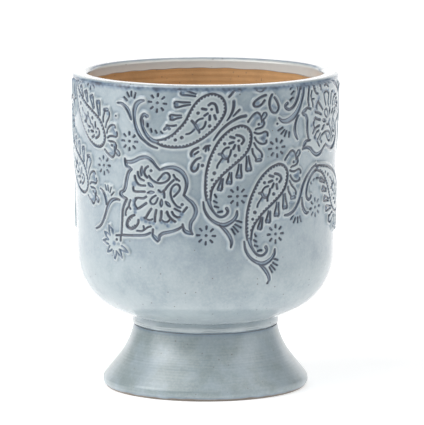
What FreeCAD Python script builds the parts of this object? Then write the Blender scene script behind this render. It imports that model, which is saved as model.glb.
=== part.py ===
import FreeCAD
import Part
import math
import os

# A footed ceramic planter, in millimetres, +Z up, with its origin at the centre of the
# ring that it stands on.  It is put together on the bench from a thrown bowl, a thrown
# hollow foot, the clay coil that lutes them, and ornaments pressed in moulds and stuck
# to the wall.  The front faces -Y.

os.makedirs("parts", exist_ok=True)

# Foot: a hollow flare on a flat ring.  Leans are degrees away from the vertical.
foot_height = 47.7
foot_neck_radius = 55.2
foot_neck_lean = 10.4
foot_flare_radius = 56.3
foot_flare_lean = 38.6
foot_edge_radius = 6.6
foot_sole_radius = 6.4
foot_sole_lean = 55.0
foot_wall = 10.4

# Collar: the clay coil between foot and bowl.
collar_height = 6.4
collar_bulge = 1.4
collar_thickness = 9.0

# Bowl: a belly in two arcs, then a wall that widens slightly up to the rim.
bowl_height = 188.4
bowl_base_radius = 52.0
bowl_wall = 11.4
belly_lean = 13.0
belly_radius = 81.7
belly_sweep_angle = 18.4
shoulder_radius = 45.8
shoulder_sweep_angle = 57.1
lip_round = 2.8
drain_radius = 9.0
bevel_flats = 3

# Border: the pattern repeats round the wall, its ornaments stand this far proud, and the
# lines that run round inside them are carved this deep.
relief_height = 1.5
carving_depth = 1.0
seat_overrun = 20.0
border_repeats = 2

# Ornament sizes, as shares of the wall's radius, so that the border always fits round it.
paisley_share = 0.611
medallion_share = 0.764
fork_share = 0.428
small_fork_share = 0.357
drop_share = 0.122
daisy_share = 0.1325
daisy_petals = 8
daisy_gap_angle = 84.0
daisy_lean_angle = 45.0

axis_start = FreeCAD.Vector(0, 0, 0)
axis_up = FreeCAD.Vector(0, 0, 1)
full_turn_angle = 360.0
upright_angle = 90.0


def cos(degrees):
    return math.cos(math.radians(degrees))


def sin(degrees):
    return math.sin(math.radians(degrees))


class Profile:
    """A path in the half plane of radius and height, drawn by lines and tangent arcs."""

    def __init__(self, radius, height, heading=0.0):
        self.radius = radius
        self.height = height
        self.heading = heading
        self.start = FreeCAD.Vector(radius, 0, height)
        self.edges = []

    def here(self):
        return FreeCAD.Vector(self.radius, 0, self.height)

    def to(self, radius, height):
        start = self.here()
        self.heading = math.degrees(math.atan2(height - self.height, radius - self.radius))
        self.radius = radius
        self.height = height
        self.edges.append(Part.LineSegment(start, self.here()).toShape())
        return self

    def ahead(self, length):
        return self.to(self.radius + length * cos(self.heading), self.height + length * sin(self.heading))

    def after(self, radius, sweep):
        """The point that a tangent arc reaches; a positive sweep turns to the left."""
        side = math.copysign(1, sweep)
        end = self.heading + sweep
        across = side * radius * (sin(end) - sin(self.heading))
        up = -side * radius * (cos(end) - cos(self.heading))
        return FreeCAD.Vector(self.radius + across, 0, self.height + up)

    def arc(self, radius, sweep):
        middle = self.after(radius, sweep / 2)
        end = self.after(radius, sweep)
        self.edges.append(Part.Arc(self.here(), middle, end).toShape())
        self.radius = end.x
        self.height = end.z
        self.heading += sweep
        return self

    def bevel(self, radius, sweep):
        """A small round, turned in a few flats."""
        start = Profile(self.radius, self.height, self.heading)
        for step in range(bevel_flats):
            place = start.after(radius, sweep * (step + 1) / bevel_flats)
            self.to(place.x, place.z)
        self.heading = start.heading + sweep
        return self

    def beside(self, distance):
        """The point to the left of the path, at a distance from its end."""
        return self.radius - distance * sin(self.heading), self.height + distance * cos(self.heading)

    def revolved(self):
        self.to(self.start.x, self.start.z)
        face = Part.Face(Part.Wire(self.edges))
        return face.revolve(axis_start, axis_up, full_turn_angle)


def save(name, shape):
    shape.exportStep(f"parts/{name}.step")
    print(name, len(shape.Solids), round(shape.Volume), shape.isValid())


def make_foot():
    """The flared outside, the flat ring that it stands on, and the hollow inside them."""
    flare_turn = foot_flare_lean - foot_neck_lean
    flare_drop = foot_flare_radius * (sin(foot_flare_lean) - sin(foot_neck_lean))
    edge_drop = foot_edge_radius * sin(foot_flare_lean)
    sole_drop = foot_sole_radius * sin(foot_sole_lean)
    straight = (foot_height - flare_drop - edge_drop - sole_drop) / cos(foot_flare_lean)
    path = Profile(foot_neck_radius, foot_height, foot_neck_lean - upright_angle)
    neck_inside = path.beside(-foot_wall)
    path.arc(foot_flare_radius, flare_turn).ahead(straight)
    hem_inside = path.beside(-foot_wall)
    path.bevel(foot_edge_radius, -foot_flare_lean).bevel(foot_sole_radius, -foot_sole_lean)
    path.to(hem_inside[0], path.height).to(*hem_inside)
    path.to(*neck_inside).to(neck_inside[0], foot_height)
    return path.revolved()


def make_collar():
    """A squeezed coil: flat where it meets the bowl and the foot, bulging between them."""
    top = foot_height + collar_height
    inside = foot_neck_radius - collar_thickness
    bulge = foot_neck_radius + collar_bulge
    path = Profile(inside, foot_height)
    path.to(foot_neck_radius, foot_height)
    path.to(bulge, foot_height + collar_height / 3)
    path.to(bulge, top - collar_height / 3)
    path.to(bowl_base_radius + collar_bulge / 2, top)
    path.to(inside, top)
    return path.revolved()


def bowl_outside(proud):
    """The path up the bowl's outside as far as the wall's foot, at a distance from it."""
    path = Profile(bowl_base_radius, foot_height + collar_height, belly_lean)
    path = Profile(*path.beside(-proud), belly_lean)
    return path.arc(belly_radius + proud, belly_sweep_angle).arc(shoulder_radius + proud, shoulder_sweep_angle)


def wall_heading():
    return belly_lean + belly_sweep_angle + shoulder_sweep_angle


def lip_height():
    """Where the straight wall ends and the rounded lip starts."""
    lip_rise = lip_round * (1 + cos(wall_heading()))
    return foot_height + collar_height + bowl_height - lip_rise


def make_bowl():
    """One wall thickness all round, a rounded lip, and a flat floor with its drain hole."""
    path = bowl_outside(0)
    wall_inside = path.beside(bowl_wall)
    path.ahead((lip_height() - path.height) / sin(wall_heading()))
    lip_turn = 2 * upright_angle - wall_heading()
    path.bevel(lip_round, lip_turn).ahead((bowl_wall - 2 * lip_round) / sin(lip_turn))
    path.bevel(lip_round, wall_heading()).to(*wall_inside)
    path.bevel(shoulder_radius - bowl_wall, -shoulder_sweep_angle)
    path.bevel(belly_radius - bowl_wall, -belly_sweep_angle)
    path.to(drain_radius, path.height).to(drain_radius, foot_height + collar_height)
    return path.revolved()


def wall_skin(inner, outer):
    """The space between two distances from the bowl's outside, up to the lip."""
    path = bowl_outside(inner)
    outer_foot = path.beside(inner - outer)
    path.ahead((lip_height() - path.height) / sin(path.heading))
    path.to(*path.beside(inner - outer)).to(*outer_foot)
    path.arc(shoulder_radius + outer, -shoulder_sweep_angle).arc(belly_radius + outer, -belly_sweep_angle)
    return path.revolved()


# Places on the wall: degrees round from the front, drop below the lip as a share of the wall's
# radius, turn, mirrored.
paisley_place_shares = {
    "paisley_middle": (1.5, 0.837, 0.0, False),
    "paisley_low": (19.2, 1.148, 0.0, False),
    "paisley_high": (-20.5, 0.407, -82.0, True),
    "paisley_right": (57.0, 0.668, -98.0, False),
    "paisley_left_high": (-71.0, -0.014, -168.0, True),
    "paisley_left_low": (-84.8, 0.368, -168.0, True),
    "rim_curl": (43.0, 0.017, 0.0, True),
}
medallion_place_shares = {
    "medallion_low": (-40.0, 1.156, -45.0, False),
    "medallion_rim": (49.6, -0.121, -146.0, False),
}
fork_place_shares = {
    "spray_high": (-21.3, 0.447, 5.0, False),
    "spray_right": (53.8, 0.622, 190.0, True),
}
small_fork_place_shares = {"spray_left": (-56.1, 1.092, 0.0, True)}
crescent_place_shares = {
    "spray_middle": (1.5, 0.837, 0.0, False),
    "spray_low": (19.2, 1.148, 0.0, False),
    "spray_side": (-84.8, 0.368, -168.0, True),
    "spray_rim": (43.0, 0.017, 18.0, True),
}
daisy_place_share = (-42.7, 1.217, 0.0, False)
drop_place_shares = {
    "rim_drops": [(26.4, 0.048, 123.0, False), (28.9, 0.048, -167.0, False)],
    "hanging_buds": [(-3.2, 0.455, 134.0, False), (-3.4, 0.516, 162.0, False)],
}

# Outlines, as shares of the ornament's length, with its tip at the origin.
paisley_back_shares = [
    (0.245, -0.155),
    (0.190, -0.240),
    (0.095, -0.258),
    (-0.005, -0.165),
    (-0.048, 0.010),
    (-0.067, 0.210),
    (-0.034, 0.477),
    (0.100, 0.758),
    (0.260, 0.922),
    (0.400, 0.950),
]
paisley_fringe_shares = [
    (0.400, 0.950),
    (0.560, 1.070),
    (0.690, 1.040),
    (0.690, 0.930),
    (0.515, 0.875),
    (0.540, 0.820),
    (0.660, 0.835),
    (0.740, 0.770),
    (0.690, 0.680),
    (0.560, 0.735),
    (0.555, 0.680),
    (0.650, 0.530),
    (0.635, 0.430),
    (0.565, 0.430),
    (0.535, 0.580),
    (0.545, 0.330),
    (0.450, 0.310),
    (0.440, 0.480),
    (0.410, 0.230),
    (0.325, 0.225),
    (0.335, 0.400),
    (0.275, 0.160),
    (0.200, 0.160),
    (0.215, 0.300),
    (0.175, 0.085),
    (0.115, 0.095),
    (0.110, 0.190),
]
paisley_front_shares = [(0.110, 0.190), (0.060, 0.060), (0.055, -0.090), (0.115, -0.168), (0.172, -0.120)]
crescent_blade_shares = [
    [(-0.075, -0.060, 0.012), (-0.030, -0.220, 0.022), (0.130, -0.320, 0.026), (0.330, -0.220, 0.020)],
    [(0.120, -0.320, 0.020), (0.230, -0.420, 0.024), (0.280, -0.590, 0.018)],
]
fork_blade_shares = [
    [(-0.745, 0.660, 0.018), (-0.500, 0.490, 0.028), (-0.360, 0.120, 0.030), (-0.030, -0.100, 0.018)],
    [(-0.245, 0.670, 0.018), (-0.405, 0.520, 0.030), (-0.365, 0.160, 0.020)],
]
medallion_run_shares = [
    [(0.000, 0.000), (0.113, 0.143), (0.200, 0.240), (0.215, 0.325)],
    [(0.292, 0.370), (0.330, 0.450), (0.380, 0.530), (0.390, 0.605)],
    [(0.440, 0.665), (0.410, 0.770), (0.310, 0.858), (0.178, 0.846)],
]
medallion_spur_shares = [
    [(0.215, 0.325), (0.265, 0.300), (0.331, 0.318), (0.292, 0.370)],
    [(0.390, 0.605), (0.440, 0.592), (0.518, 0.622), (0.440, 0.665)],
]
medallion_top_shares = [(0.178, 0.846), (0.143, 0.925), (0.080, 0.985), (0.000, 1.004)]
drop_spine_shares = [(0.000, 0.080, 0.080), (0.000, 0.400, 0.220), (0.000, 0.700, 0.240)]
daisy_heart_share = 0.5

# Carved lines, as shares of the ornament's length: closed, against the clock.
paisley_line_shares = [
    (-0.005, -0.050),
    (0.024, 0.050),
    (0.066, 0.180),
    (0.203, 0.329),
    (0.375, 0.467),
    (0.492, 0.625),
    (0.520, 0.745),
    (0.452, 0.880),
    (0.340, 0.894),
    (0.180, 0.798),
    (0.049, 0.602),
    (-0.024, 0.370),
    (-0.036, 0.140),
]
paisley_line_half_share = 0.012
medallion_line_shares = [
    (0.000, 0.045),
    (0.165, 0.262),
    (0.185, 0.345),
    (0.262, 0.400),
    (0.345, 0.545),
    (0.360, 0.628),
    (0.394, 0.690),
    (0.300, 0.812),
    (0.152, 0.806),
    (0.100, 0.912),
]
medallion_line_top_share = (0.000, 0.965)
medallion_line_half_share = 0.014


def wall_radius():
    return bowl_outside(0).radius


class Ornament:
    """A flat drawing at a place on the wall, that is pressed on to it along the radius."""

    def __init__(self, place_share, length_share):
        bearing, fall_share, turn, mirrored = place_share
        self.bearing = bearing
        self.rise = lip_height() - wall_radius() * fall_share
        self.turn = turn
        self.mirror = -1 if mirrored else 1
        self.length = wall_radius() * length_share
        self.faces = []
        self.lines = []

    def point(self, share):
        """Bent across the wall, so that it keeps its width when it is pressed on."""
        x = share[0] * self.length * self.mirror
        y = share[1] * self.length
        across = x * cos(self.turn) - y * sin(self.turn)
        up = x * sin(self.turn) + y * cos(self.turn)
        bent = wall_radius() * math.sin(across / wall_radius())
        return FreeCAD.Vector(bent, seat_overrun - wall_radius(), self.rise + up)

    def smooth(self, shares):
        curve = Part.BSplineCurve()
        curve.interpolate([self.point(share) for share in shares])
        return curve.toShape()

    def straight(self, shares):
        return Part.makePolygon([self.point(share) for share in shares]).Edges

    def add_outline(self, edges):
        self.faces.append(Part.Face(Part.Wire(Part.__sortEdges__(edges))))

    def add_blade(self, spine_shares):
        """A leaf round a spine of places, each with its half width."""
        left = []
        right = []
        for index, (x, y, half) in enumerate(spine_shares):
            before = spine_shares[max(index - 1, 0)]
            after = spine_shares[min(index + 1, len(spine_shares) - 1)]
            heading = math.atan2(after[1] - before[1], after[0] - before[0])
            left.append((x - half * math.sin(heading), y + half * math.cos(heading)))
            right.append((x + half * math.sin(heading), y - half * math.cos(heading)))
        start = beyond(spine_shares[0], spine_shares[1])
        end = beyond(spine_shares[-1], spine_shares[-2])
        self.add_outline(self.straight([start, *right, end, *reversed(left), start]))

    def add_line(self, draw, line_shares, half_share):
        """A carved line, as the ring between two copies of a closed row of places."""
        rows = inset(line_shares, -half_share), inset(line_shares, half_share)
        outer, inner = (Part.Face(Part.Wire(draw([*row, row[0]]))) for row in rows)
        self.lines += outer.cut(inner).Faces

    def on_wall(self, faces, skin):
        """Flat faces as solids on the wall, kept where the skin is."""
        pieces = []
        for face in faces:
            prism = face.extrude(FreeCAD.Vector(0, -2 * seat_overrun, 0))
            prism.rotate(axis_start, axis_up, self.bearing)
            pieces += prism.common(skin).Solids
        return pieces

    def pressed(self, skin, carving_skin):
        """The drawing as one solid, with its lines carved into it."""
        pieces = self.on_wall(self.faces, skin)
        solid = pieces[0].multiFuse(pieces[1:]).removeSplitter() if pieces[1:] else pieces[0]
        return solid.cut(self.on_wall(self.lines, carving_skin)) if self.lines else solid


def mirrored(shares):
    return [(-x, y) for x, y in shares]


def inset(line_shares, distance):
    """A closed line that runs against the clock, moved inwards."""
    moved = []
    for index, (x, y) in enumerate(line_shares):
        before = line_shares[index - 1]
        after = line_shares[(index + 1) % len(line_shares)]
        reach = math.hypot(after[0] - before[0], after[1] - before[1])
        across = distance * (before[1] - after[1]) / reach
        up = distance * (after[0] - before[0]) / reach
        moved.append((x + across, y + up))
    return moved


def beyond(last, other):
    """The point of a blade, its half width past its last place."""
    reach = math.hypot(last[0] - other[0], last[1] - other[1])
    return (
        last[0] + last[2] * (last[0] - other[0]) / reach,
        last[1] + last[2] * (last[1] - other[1]) / reach,
    )


def draw_paisley(ornament):
    """A smooth back that ends in a curl, and a fringe of buds and two flowers."""
    end_shares = [paisley_front_shares[-1], paisley_back_shares[0]]
    edges = [ornament.smooth(paisley_back_shares), ornament.smooth(paisley_front_shares)]
    edges += ornament.straight(paisley_fringe_shares) + ornament.straight(end_shares)
    ornament.add_outline(edges)
    ornament.add_line(ornament.smooth, paisley_line_shares, paisley_line_half_share)


def draw_medallion(ornament):
    """Both halves of a symmetrical outline, with corners between its runs."""
    edges = [ornament.smooth(medallion_top_shares + mirrored(medallion_top_shares[:-1])[::-1])]
    for run_shares in medallion_run_shares:
        edges += [ornament.smooth(run_shares), ornament.smooth(mirrored(run_shares))]
    for spur_shares in medallion_spur_shares:
        edges += ornament.straight(spur_shares) + ornament.straight(mirrored(spur_shares))
    ornament.add_outline(edges)
    line_shares = [*medallion_line_shares, medallion_line_top_share]
    line_shares += mirrored(medallion_line_shares[1:])[::-1]
    ornament.add_line(ornament.straight, line_shares, medallion_line_half_share)


def draw_fork(ornament):
    for spine_shares in fork_blade_shares:
        ornament.add_blade(spine_shares)


def draw_crescent(ornament):
    for spine_shares in crescent_blade_shares:
        ornament.add_blade(spine_shares)


def draw_drop(ornament):
    ornament.add_blade(drop_spine_shares)


def draw_daisy(ornament):
    """Petals fan away from the medallion's tip, which fills the gap between them."""
    petal_angle = (full_turn_angle - daisy_gap_angle) / daisy_petals
    shares = []
    for petal in range(daisy_petals):
        start = daisy_lean_angle + daisy_gap_angle / 2 + petal * petal_angle
        for step, reach in enumerate((daisy_heart_share, 1, daisy_heart_share)):
            angle = start + petal_angle * step / 2
            shares.append((reach * cos(angle), reach * sin(angle)))
    ornament.add_outline(ornament.straight([*shares, shares[0]]))


def save_border(name, draw, place_shares, length_share, skins):
    """One ornament, or a few of a kind, with the copies that repeat them round the wall."""
    solids = []
    for place_share in place_shares:
        ornament = Ornament(place_share, length_share)
        draw(ornament)
        first = ornament.pressed(*skins)
        for repeat in range(border_repeats):
            solid = first.copy()
            solid.rotate(axis_start, axis_up, full_turn_angle * repeat / border_repeats)
            solids += solid.Solids
    save(name, Part.makeCompound(solids))


def main():
    save("bowl", make_bowl())
    save("neck_collar", make_collar())
    save("pedestal_foot", make_foot())
    skins = wall_skin(0, relief_height), wall_skin(relief_height - carving_depth, 2 * relief_height)
    for name, place_share in paisley_place_shares.items():
        save_border(name, draw_paisley, [place_share], paisley_share, skins)
    for name, place_share in medallion_place_shares.items():
        save_border(name, draw_medallion, [place_share], medallion_share, skins)
    for name, place_share in fork_place_shares.items():
        save_border(name, draw_fork, [place_share], fork_share, skins)
    for name, place_share in small_fork_place_shares.items():
        save_border(name, draw_fork, [place_share], small_fork_share, skins)
    for name, place_share in crescent_place_shares.items():
        save_border(name, draw_crescent, [place_share], paisley_share, skins)
    for name, place_shares in drop_place_shares.items():
        save_border(name, draw_drop, place_shares, drop_share, skins)
    save_border("daisy", draw_daisy, [daisy_place_share], daisy_share, skins)


main()
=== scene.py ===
import math

import bpy
import numpy as np
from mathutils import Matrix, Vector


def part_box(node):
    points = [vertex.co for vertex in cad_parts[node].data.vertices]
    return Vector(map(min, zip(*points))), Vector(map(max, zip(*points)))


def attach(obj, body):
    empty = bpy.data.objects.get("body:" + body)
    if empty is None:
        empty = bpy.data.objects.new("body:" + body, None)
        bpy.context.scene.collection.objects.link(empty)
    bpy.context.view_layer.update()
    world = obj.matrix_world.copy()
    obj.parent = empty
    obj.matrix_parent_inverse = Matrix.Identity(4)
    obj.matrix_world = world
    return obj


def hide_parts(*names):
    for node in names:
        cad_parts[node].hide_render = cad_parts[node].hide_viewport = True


bl_info = {
    "name": "Footed Planter",
    "version": (1, 0, 0),
    "blender": (4, 5, 0),
    "location": "3D View > Sidebar > Planter",
    "description": "A glazed, footed planter with a pressed and carved paisley border",
    "category": "Add Mesh",
}

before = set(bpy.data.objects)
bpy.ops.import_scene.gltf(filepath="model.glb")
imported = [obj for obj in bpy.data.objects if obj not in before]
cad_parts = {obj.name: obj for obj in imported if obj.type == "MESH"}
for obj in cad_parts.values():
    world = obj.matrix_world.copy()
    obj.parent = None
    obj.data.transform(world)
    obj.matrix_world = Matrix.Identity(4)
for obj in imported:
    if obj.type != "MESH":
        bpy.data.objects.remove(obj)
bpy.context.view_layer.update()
bowl_low, bowl_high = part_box("bowl")
foot_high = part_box("pedestal_foot")[1]
millimetre = 0.001
relief_nodes = [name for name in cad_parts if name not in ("bowl", "neck_collar", "pedestal_foot")]

# The pot's section, in millimetres and degrees.  A bend is an arc's radius, a sweep how far it
# turns, and a lean or heading the clay's slope from the level.  The collar's side and the foot
# ring's edge are points of radius and rise, the collar's also with the length of their steps.
bowl_base_radius = 52.0
bowl_base_lean = 13.0
belly_bend, belly_sweep = 81.7, 18.4
shoulder_bend, shoulder_sweep = 45.8, 57.1
wall_lean = 88.5
drain_radius = 9.0
drain_round = 1.2
drain_bevel = 0.8
collar_bore, collar_foot, collar_shoulder, collar_neck = 46.2, 54.6, 56.0, 52.4
collar_side = [(55.0, 0.3, 0.2), (56.1, 1.3, 0.3), (56.35, 2.6, 0.3), (56.35, 4.3, 0.3)]
foot_neck_radius, foot_neck_heading = 55.2, -79.6
foot_neck_bend, foot_neck_sweep = 56.3, 28.2
foot_flare_length = 17.1
foot_edge_bend, foot_edge_sweep = 6.6, -38.6
foot_sole_bend, foot_sole_sweep = 6.4, -55.0
foot_ring_outside, foot_ring_inside = 76.0, 69.4
foot_ring_edge = [(68.9, 0.5), (69.1, 3.0)]
foot_hollow_radius, foot_hollow_top = 45.0, 45.8
hairline = 0.02

# How fine the meshes are: columns round the pot, and upright panels of the wall
columns_around = 1760
plain_columns = 720
foot_columns = 960
wall_panels = 8

# The border's lower edge, and the spacing of the rows that it is drawn on
border_low = 90.0
border_rows = 0.36

wall_finish = "cloudy_wall_glaze"

# Every unevenness of the clay and the glaze: its seed, how many waves it has, and the most turns
# round the pot, and radians for each millimetre of height, that one of them takes
unevennesses = {
    "wall": (3, 14, 9, 0.11),
    "belly": (5, 14, 7, 0.12),
    "belly seam": (6, 8, 20, 0),
    "drips": (8, 16, 52, 0),
    "drip edges": (9, 18, 170, 1.2),
    "glaze end": (11, 26, 30, 0),
    "glaze sag": (12, 8, 5, 0),
    "lip": (13, 12, 14, 0.8),
    "inner line": (15, 14, 40, 0),
    "end line": (16, 14, 60, 0),
    "worn lip": (17, 12, 60, 0),
    "inside": (21, 14, 7, 0.09),
    "floor_darkening": (22, 12, 9, 0.05),
    "collar": (31, 12, 11, 0.6),
    "collar seam": (32, 10, 24, 0),
    "turning": (41, 8, 6, 0.2),
    "foot": (42, 12, 6, 0.12),
    "foot glaze end": (43, 20, 40, 0),
}

# How far the thrown clay swells in and out, in millimetres
clay_swell = 0.10

# The studio, in metres: each light's place, what it points at, and its two sides; where the
# sheet starts, bends up and ends; and how strongly it glows near the pot, and how far back it
# reaches its full glow
middle_of_pot = (0, 0, 0.13)
camera_target = (0.005, 0, 0.133)
studio_lights = {
    "left_light": ((-1.6, -0.5, 1.1), middle_of_pot, (1.2, 1.6)),
    "right_light": ((1.6, -0.5, 1.1), middle_of_pot, (1.2, 1.6)),
    "top_left_light": ((-1.8, -1.1, 1.9), (-1.8, -1.1, 0), (2.9, 2.0)),
    "top_right_light": ((1.8, -1.1, 1.9), (1.8, -1.1, 0), (2.9, 2.0)),
}
sheet_front, sheet_back, sheet_bend, sheet_top, sheet_side = -0.62, 4.6, 1.2, 4.0, 5.0
near_glow, glow_reach = 0.45, 2.0


# Sizes and colours


class PlanterSizes(bpy.types.PropertyGroup):
    base_height: bpy.props.FloatProperty(
        name="Base height",
        description="Height of the bowl's underside",
        default=bowl_low.z,
        subtype="DISTANCE",
        unit="LENGTH",
    )
    rim_height: bpy.props.FloatProperty(
        name="Rim height",
        description="Height of the rim's top",
        default=bowl_high.z,
        subtype="DISTANCE",
        unit="LENGTH",
    )
    wall: bpy.props.FloatProperty(
        name="Wall",
        description="Thickness of the thrown wall",
        default=0.0114,
        subtype="DISTANCE",
        unit="LENGTH",
    )
    lip_round: bpy.props.FloatProperty(
        name="Lip round",
        description="Radius of the lip's two edges",
        default=0.0028,
        subtype="DISTANCE",
        unit="LENGTH",
    )
    relief: bpy.props.FloatProperty(
        name="Relief",
        description="How far the pressed ornaments stand out",
        default=0.0014,
        subtype="DISTANCE",
        unit="LENGTH",
    )
    ornament_margin: bpy.props.FloatProperty(
        name="Ornament margin",
        description="Width of clay left outside each carved line",
        default=0.0019,
        subtype="DISTANCE",
        unit="LENGTH",
    )
    carving: bpy.props.FloatProperty(
        name="Carving",
        description="Depth of the carved lines",
        default=0.0011,
        subtype="DISTANCE",
        unit="LENGTH",
    )
    glaze_drop: bpy.props.FloatProperty(
        name="Glaze drop",
        description="How far the glaze runs down inside the rim",
        default=0.0056,
        subtype="DISTANCE",
        unit="LENGTH",
    )
    glaze_thickness: bpy.props.FloatProperty(
        name="Glaze thickness",
        description="Thickness of the glaze inside the rim",
        default=0.0004,
        subtype="DISTANCE",
        unit="LENGTH",
    )
    turning_depth: bpy.props.FloatProperty(
        name="Turning depth",
        description="Depth of the rings left by the potter's fingers",
        default=0.00003,
        precision=5,
        subtype="DISTANCE",
        unit="LENGTH",
    )


class PlanterColours(bpy.types.PropertyGroup):
    glaze: bpy.props.FloatVectorProperty(
        name="Glaze",
        description="The glaze on the plain wall",
        default=(0.385, 0.455, 0.485),
        subtype="COLOR",
        size=3,
        min=0,
        max=1,
    )
    cool_glaze: bpy.props.FloatVectorProperty(
        name="Cool glaze",
        description="The glaze where it lies a little thicker",
        default=(0.295, 0.365, 0.405),
        subtype="COLOR",
        size=3,
        min=0,
        max=1,
    )
    pooled: bpy.props.FloatVectorProperty(
        name="Pooled glaze",
        description="The glaze that has run into the carved lines",
        default=(0.058, 0.066, 0.090),
        subtype="COLOR",
        size=3,
        min=0,
        max=1,
    )
    thick: bpy.props.FloatVectorProperty(
        name="Thick glaze",
        description="The bluer glaze beside the carved lines and under the lip",
        default=(0.155, 0.225, 0.315),
        subtype="COLOR",
        size=3,
        min=0,
        max=1,
    )
    # Thin glaze, and also the colour of the painted light inside the rim and under the belly
    pale_glaze_and_painted_light: bpy.props.FloatVectorProperty(
        name="Thin glaze",
        description="The glaze where it has run off an edge",
        default=(0.75, 0.775, 0.76),
        subtype="COLOR",
        size=3,
        min=0,
        max=1,
    )
    foot_glaze: bpy.props.FloatVectorProperty(
        name="Foot glaze",
        description="The greyer glaze on the foot",
        default=(0.228, 0.286, 0.297),
        subtype="COLOR",
        size=3,
        min=0,
        max=1,
    )
    terracotta: bpy.props.FloatVectorProperty(
        name="Terracotta",
        description="The bare clay inside",
        default=(0.57, 0.338, 0.158),
        subtype="COLOR",
        size=3,
        min=0,
        max=1,
    )
    bare_foot: bpy.props.FloatVectorProperty(
        name="Bare foot",
        description="The wiped clay where the foot meets the floor",
        default=(0.135, 0.115, 0.095),
        subtype="COLOR",
        size=3,
        min=0,
        max=1,
    )


class PlanterStudio(bpy.types.PropertyGroup):
    left_light: bpy.props.FloatProperty(
        name="Left light",
        description="Power of the tall light on the left",
        default=13.5,
        unit="POWER",
    )
    right_light: bpy.props.FloatProperty(
        name="Right light",
        description="Power of the tall light on the right",
        default=6.5,
        unit="POWER",
    )
    top_left_light: bpy.props.FloatProperty(
        name="Top left light",
        description="Power of the light overhead on the left",
        default=42.0,
        unit="POWER",
    )
    top_right_light: bpy.props.FloatProperty(
        name="Top right light",
        description="Power of the light overhead on the right",
        default=14.0,
        unit="POWER",
    )
    room: bpy.props.FloatProperty(
        name="Room", description="Brightness of the white room", default=0.28, min=0
    )
    sheet_glow: bpy.props.FloatProperty(
        name="Sheet glow",
        description="Light given off by the far part of the white sheet",
        default=0.75,
        min=0,
    )
    camera_distance: bpy.props.FloatProperty(
        name="Camera distance",
        description="How far the camera stands in front",
        default=3.35,
        subtype="DISTANCE",
        unit="LENGTH",
    )
    camera_height: bpy.props.FloatProperty(
        name="Camera height",
        description="Height of the camera",
        default=0.621,
        subtype="DISTANCE",
        unit="LENGTH",
    )
    focal_length: bpy.props.FloatProperty(
        name="Focal length", description="Focal length of the lens", default=374.0, unit="CAMERA"
    )


# The turned shapes


class Turning:
    """A path of radius, height and heading in millimetres, sampled as it goes."""

    def __init__(self, radius, height, heading, step=0.5):
        self.step = step
        self.places = [(radius, height, heading)]

    def ahead(self, length, step=None):
        radius, height, heading = self.places[-1]
        count = max(1, round(length / (step or self.step)))
        for index in range(1, count + 1):
            reach = length * index / count
            turn = math.radians(heading)
            place = (radius + reach * math.cos(turn), height + reach * math.sin(turn), heading)
            self.places.append(place)
        return self

    def towards(self, radius, height, step=None):
        start = self.places[-1]
        heading = math.degrees(math.atan2(height - start[1], radius - start[0]))
        self.places.append((start[0], start[1], heading))
        return self.ahead(math.hypot(radius - start[0], height - start[1]), step)

    def arc(self, bend, sweep, step=None):
        radius, height, heading = self.places[-1]
        side = math.copysign(1, sweep)
        count = max(2, round(bend * math.radians(abs(sweep)) / (step or self.step)))
        for index in range(1, count + 1):
            turned = heading + sweep * index / count
            before, after = math.radians(heading), math.radians(turned)
            self.places.append(
                (
                    radius + side * bend * (math.sin(after) - math.sin(before)),
                    height - side * bend * (math.cos(after) - math.cos(before)),
                    turned,
                )
            )
        return self

    def table(self):
        """Radius, height, and the two parts of the outward normal to the right of the path."""
        radius, height, heading = np.array(self.places).T
        turn = np.radians(heading)
        return radius, height, np.sin(turn), -np.cos(turn)


def bowl_side(base):
    """The outside of the bowl, from its underside up to the start of the wall."""
    path = Turning(bowl_base_radius, base, bowl_base_lean)
    return path.arc(belly_bend, belly_sweep).arc(shoulder_bend, shoulder_sweep)


def lip_start(sizes):
    """The height at which the wall turns into the lip."""
    return sizes["rim_height"] - sizes["lip_round"] * (1 + math.cos(math.radians(wall_lean)))


def waves(around, height, kind):
    """A smooth unevenness from about -1 to 1 that closes round the pot."""
    seed, count, around_most, height_most = unevennesses[kind]
    chance = np.random.default_rng(seed)
    total = np.zeros(np.broadcast(around, height).shape)
    for _ in range(count):
        turns = chance.integers(0, around_most + 1)
        rise = chance.uniform(-height_most, height_most)
        total = total + np.sin(turns * around + rise * height + chance.uniform(0, 2 * math.pi))
    return total / math.sqrt(count) / 1.5


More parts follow.
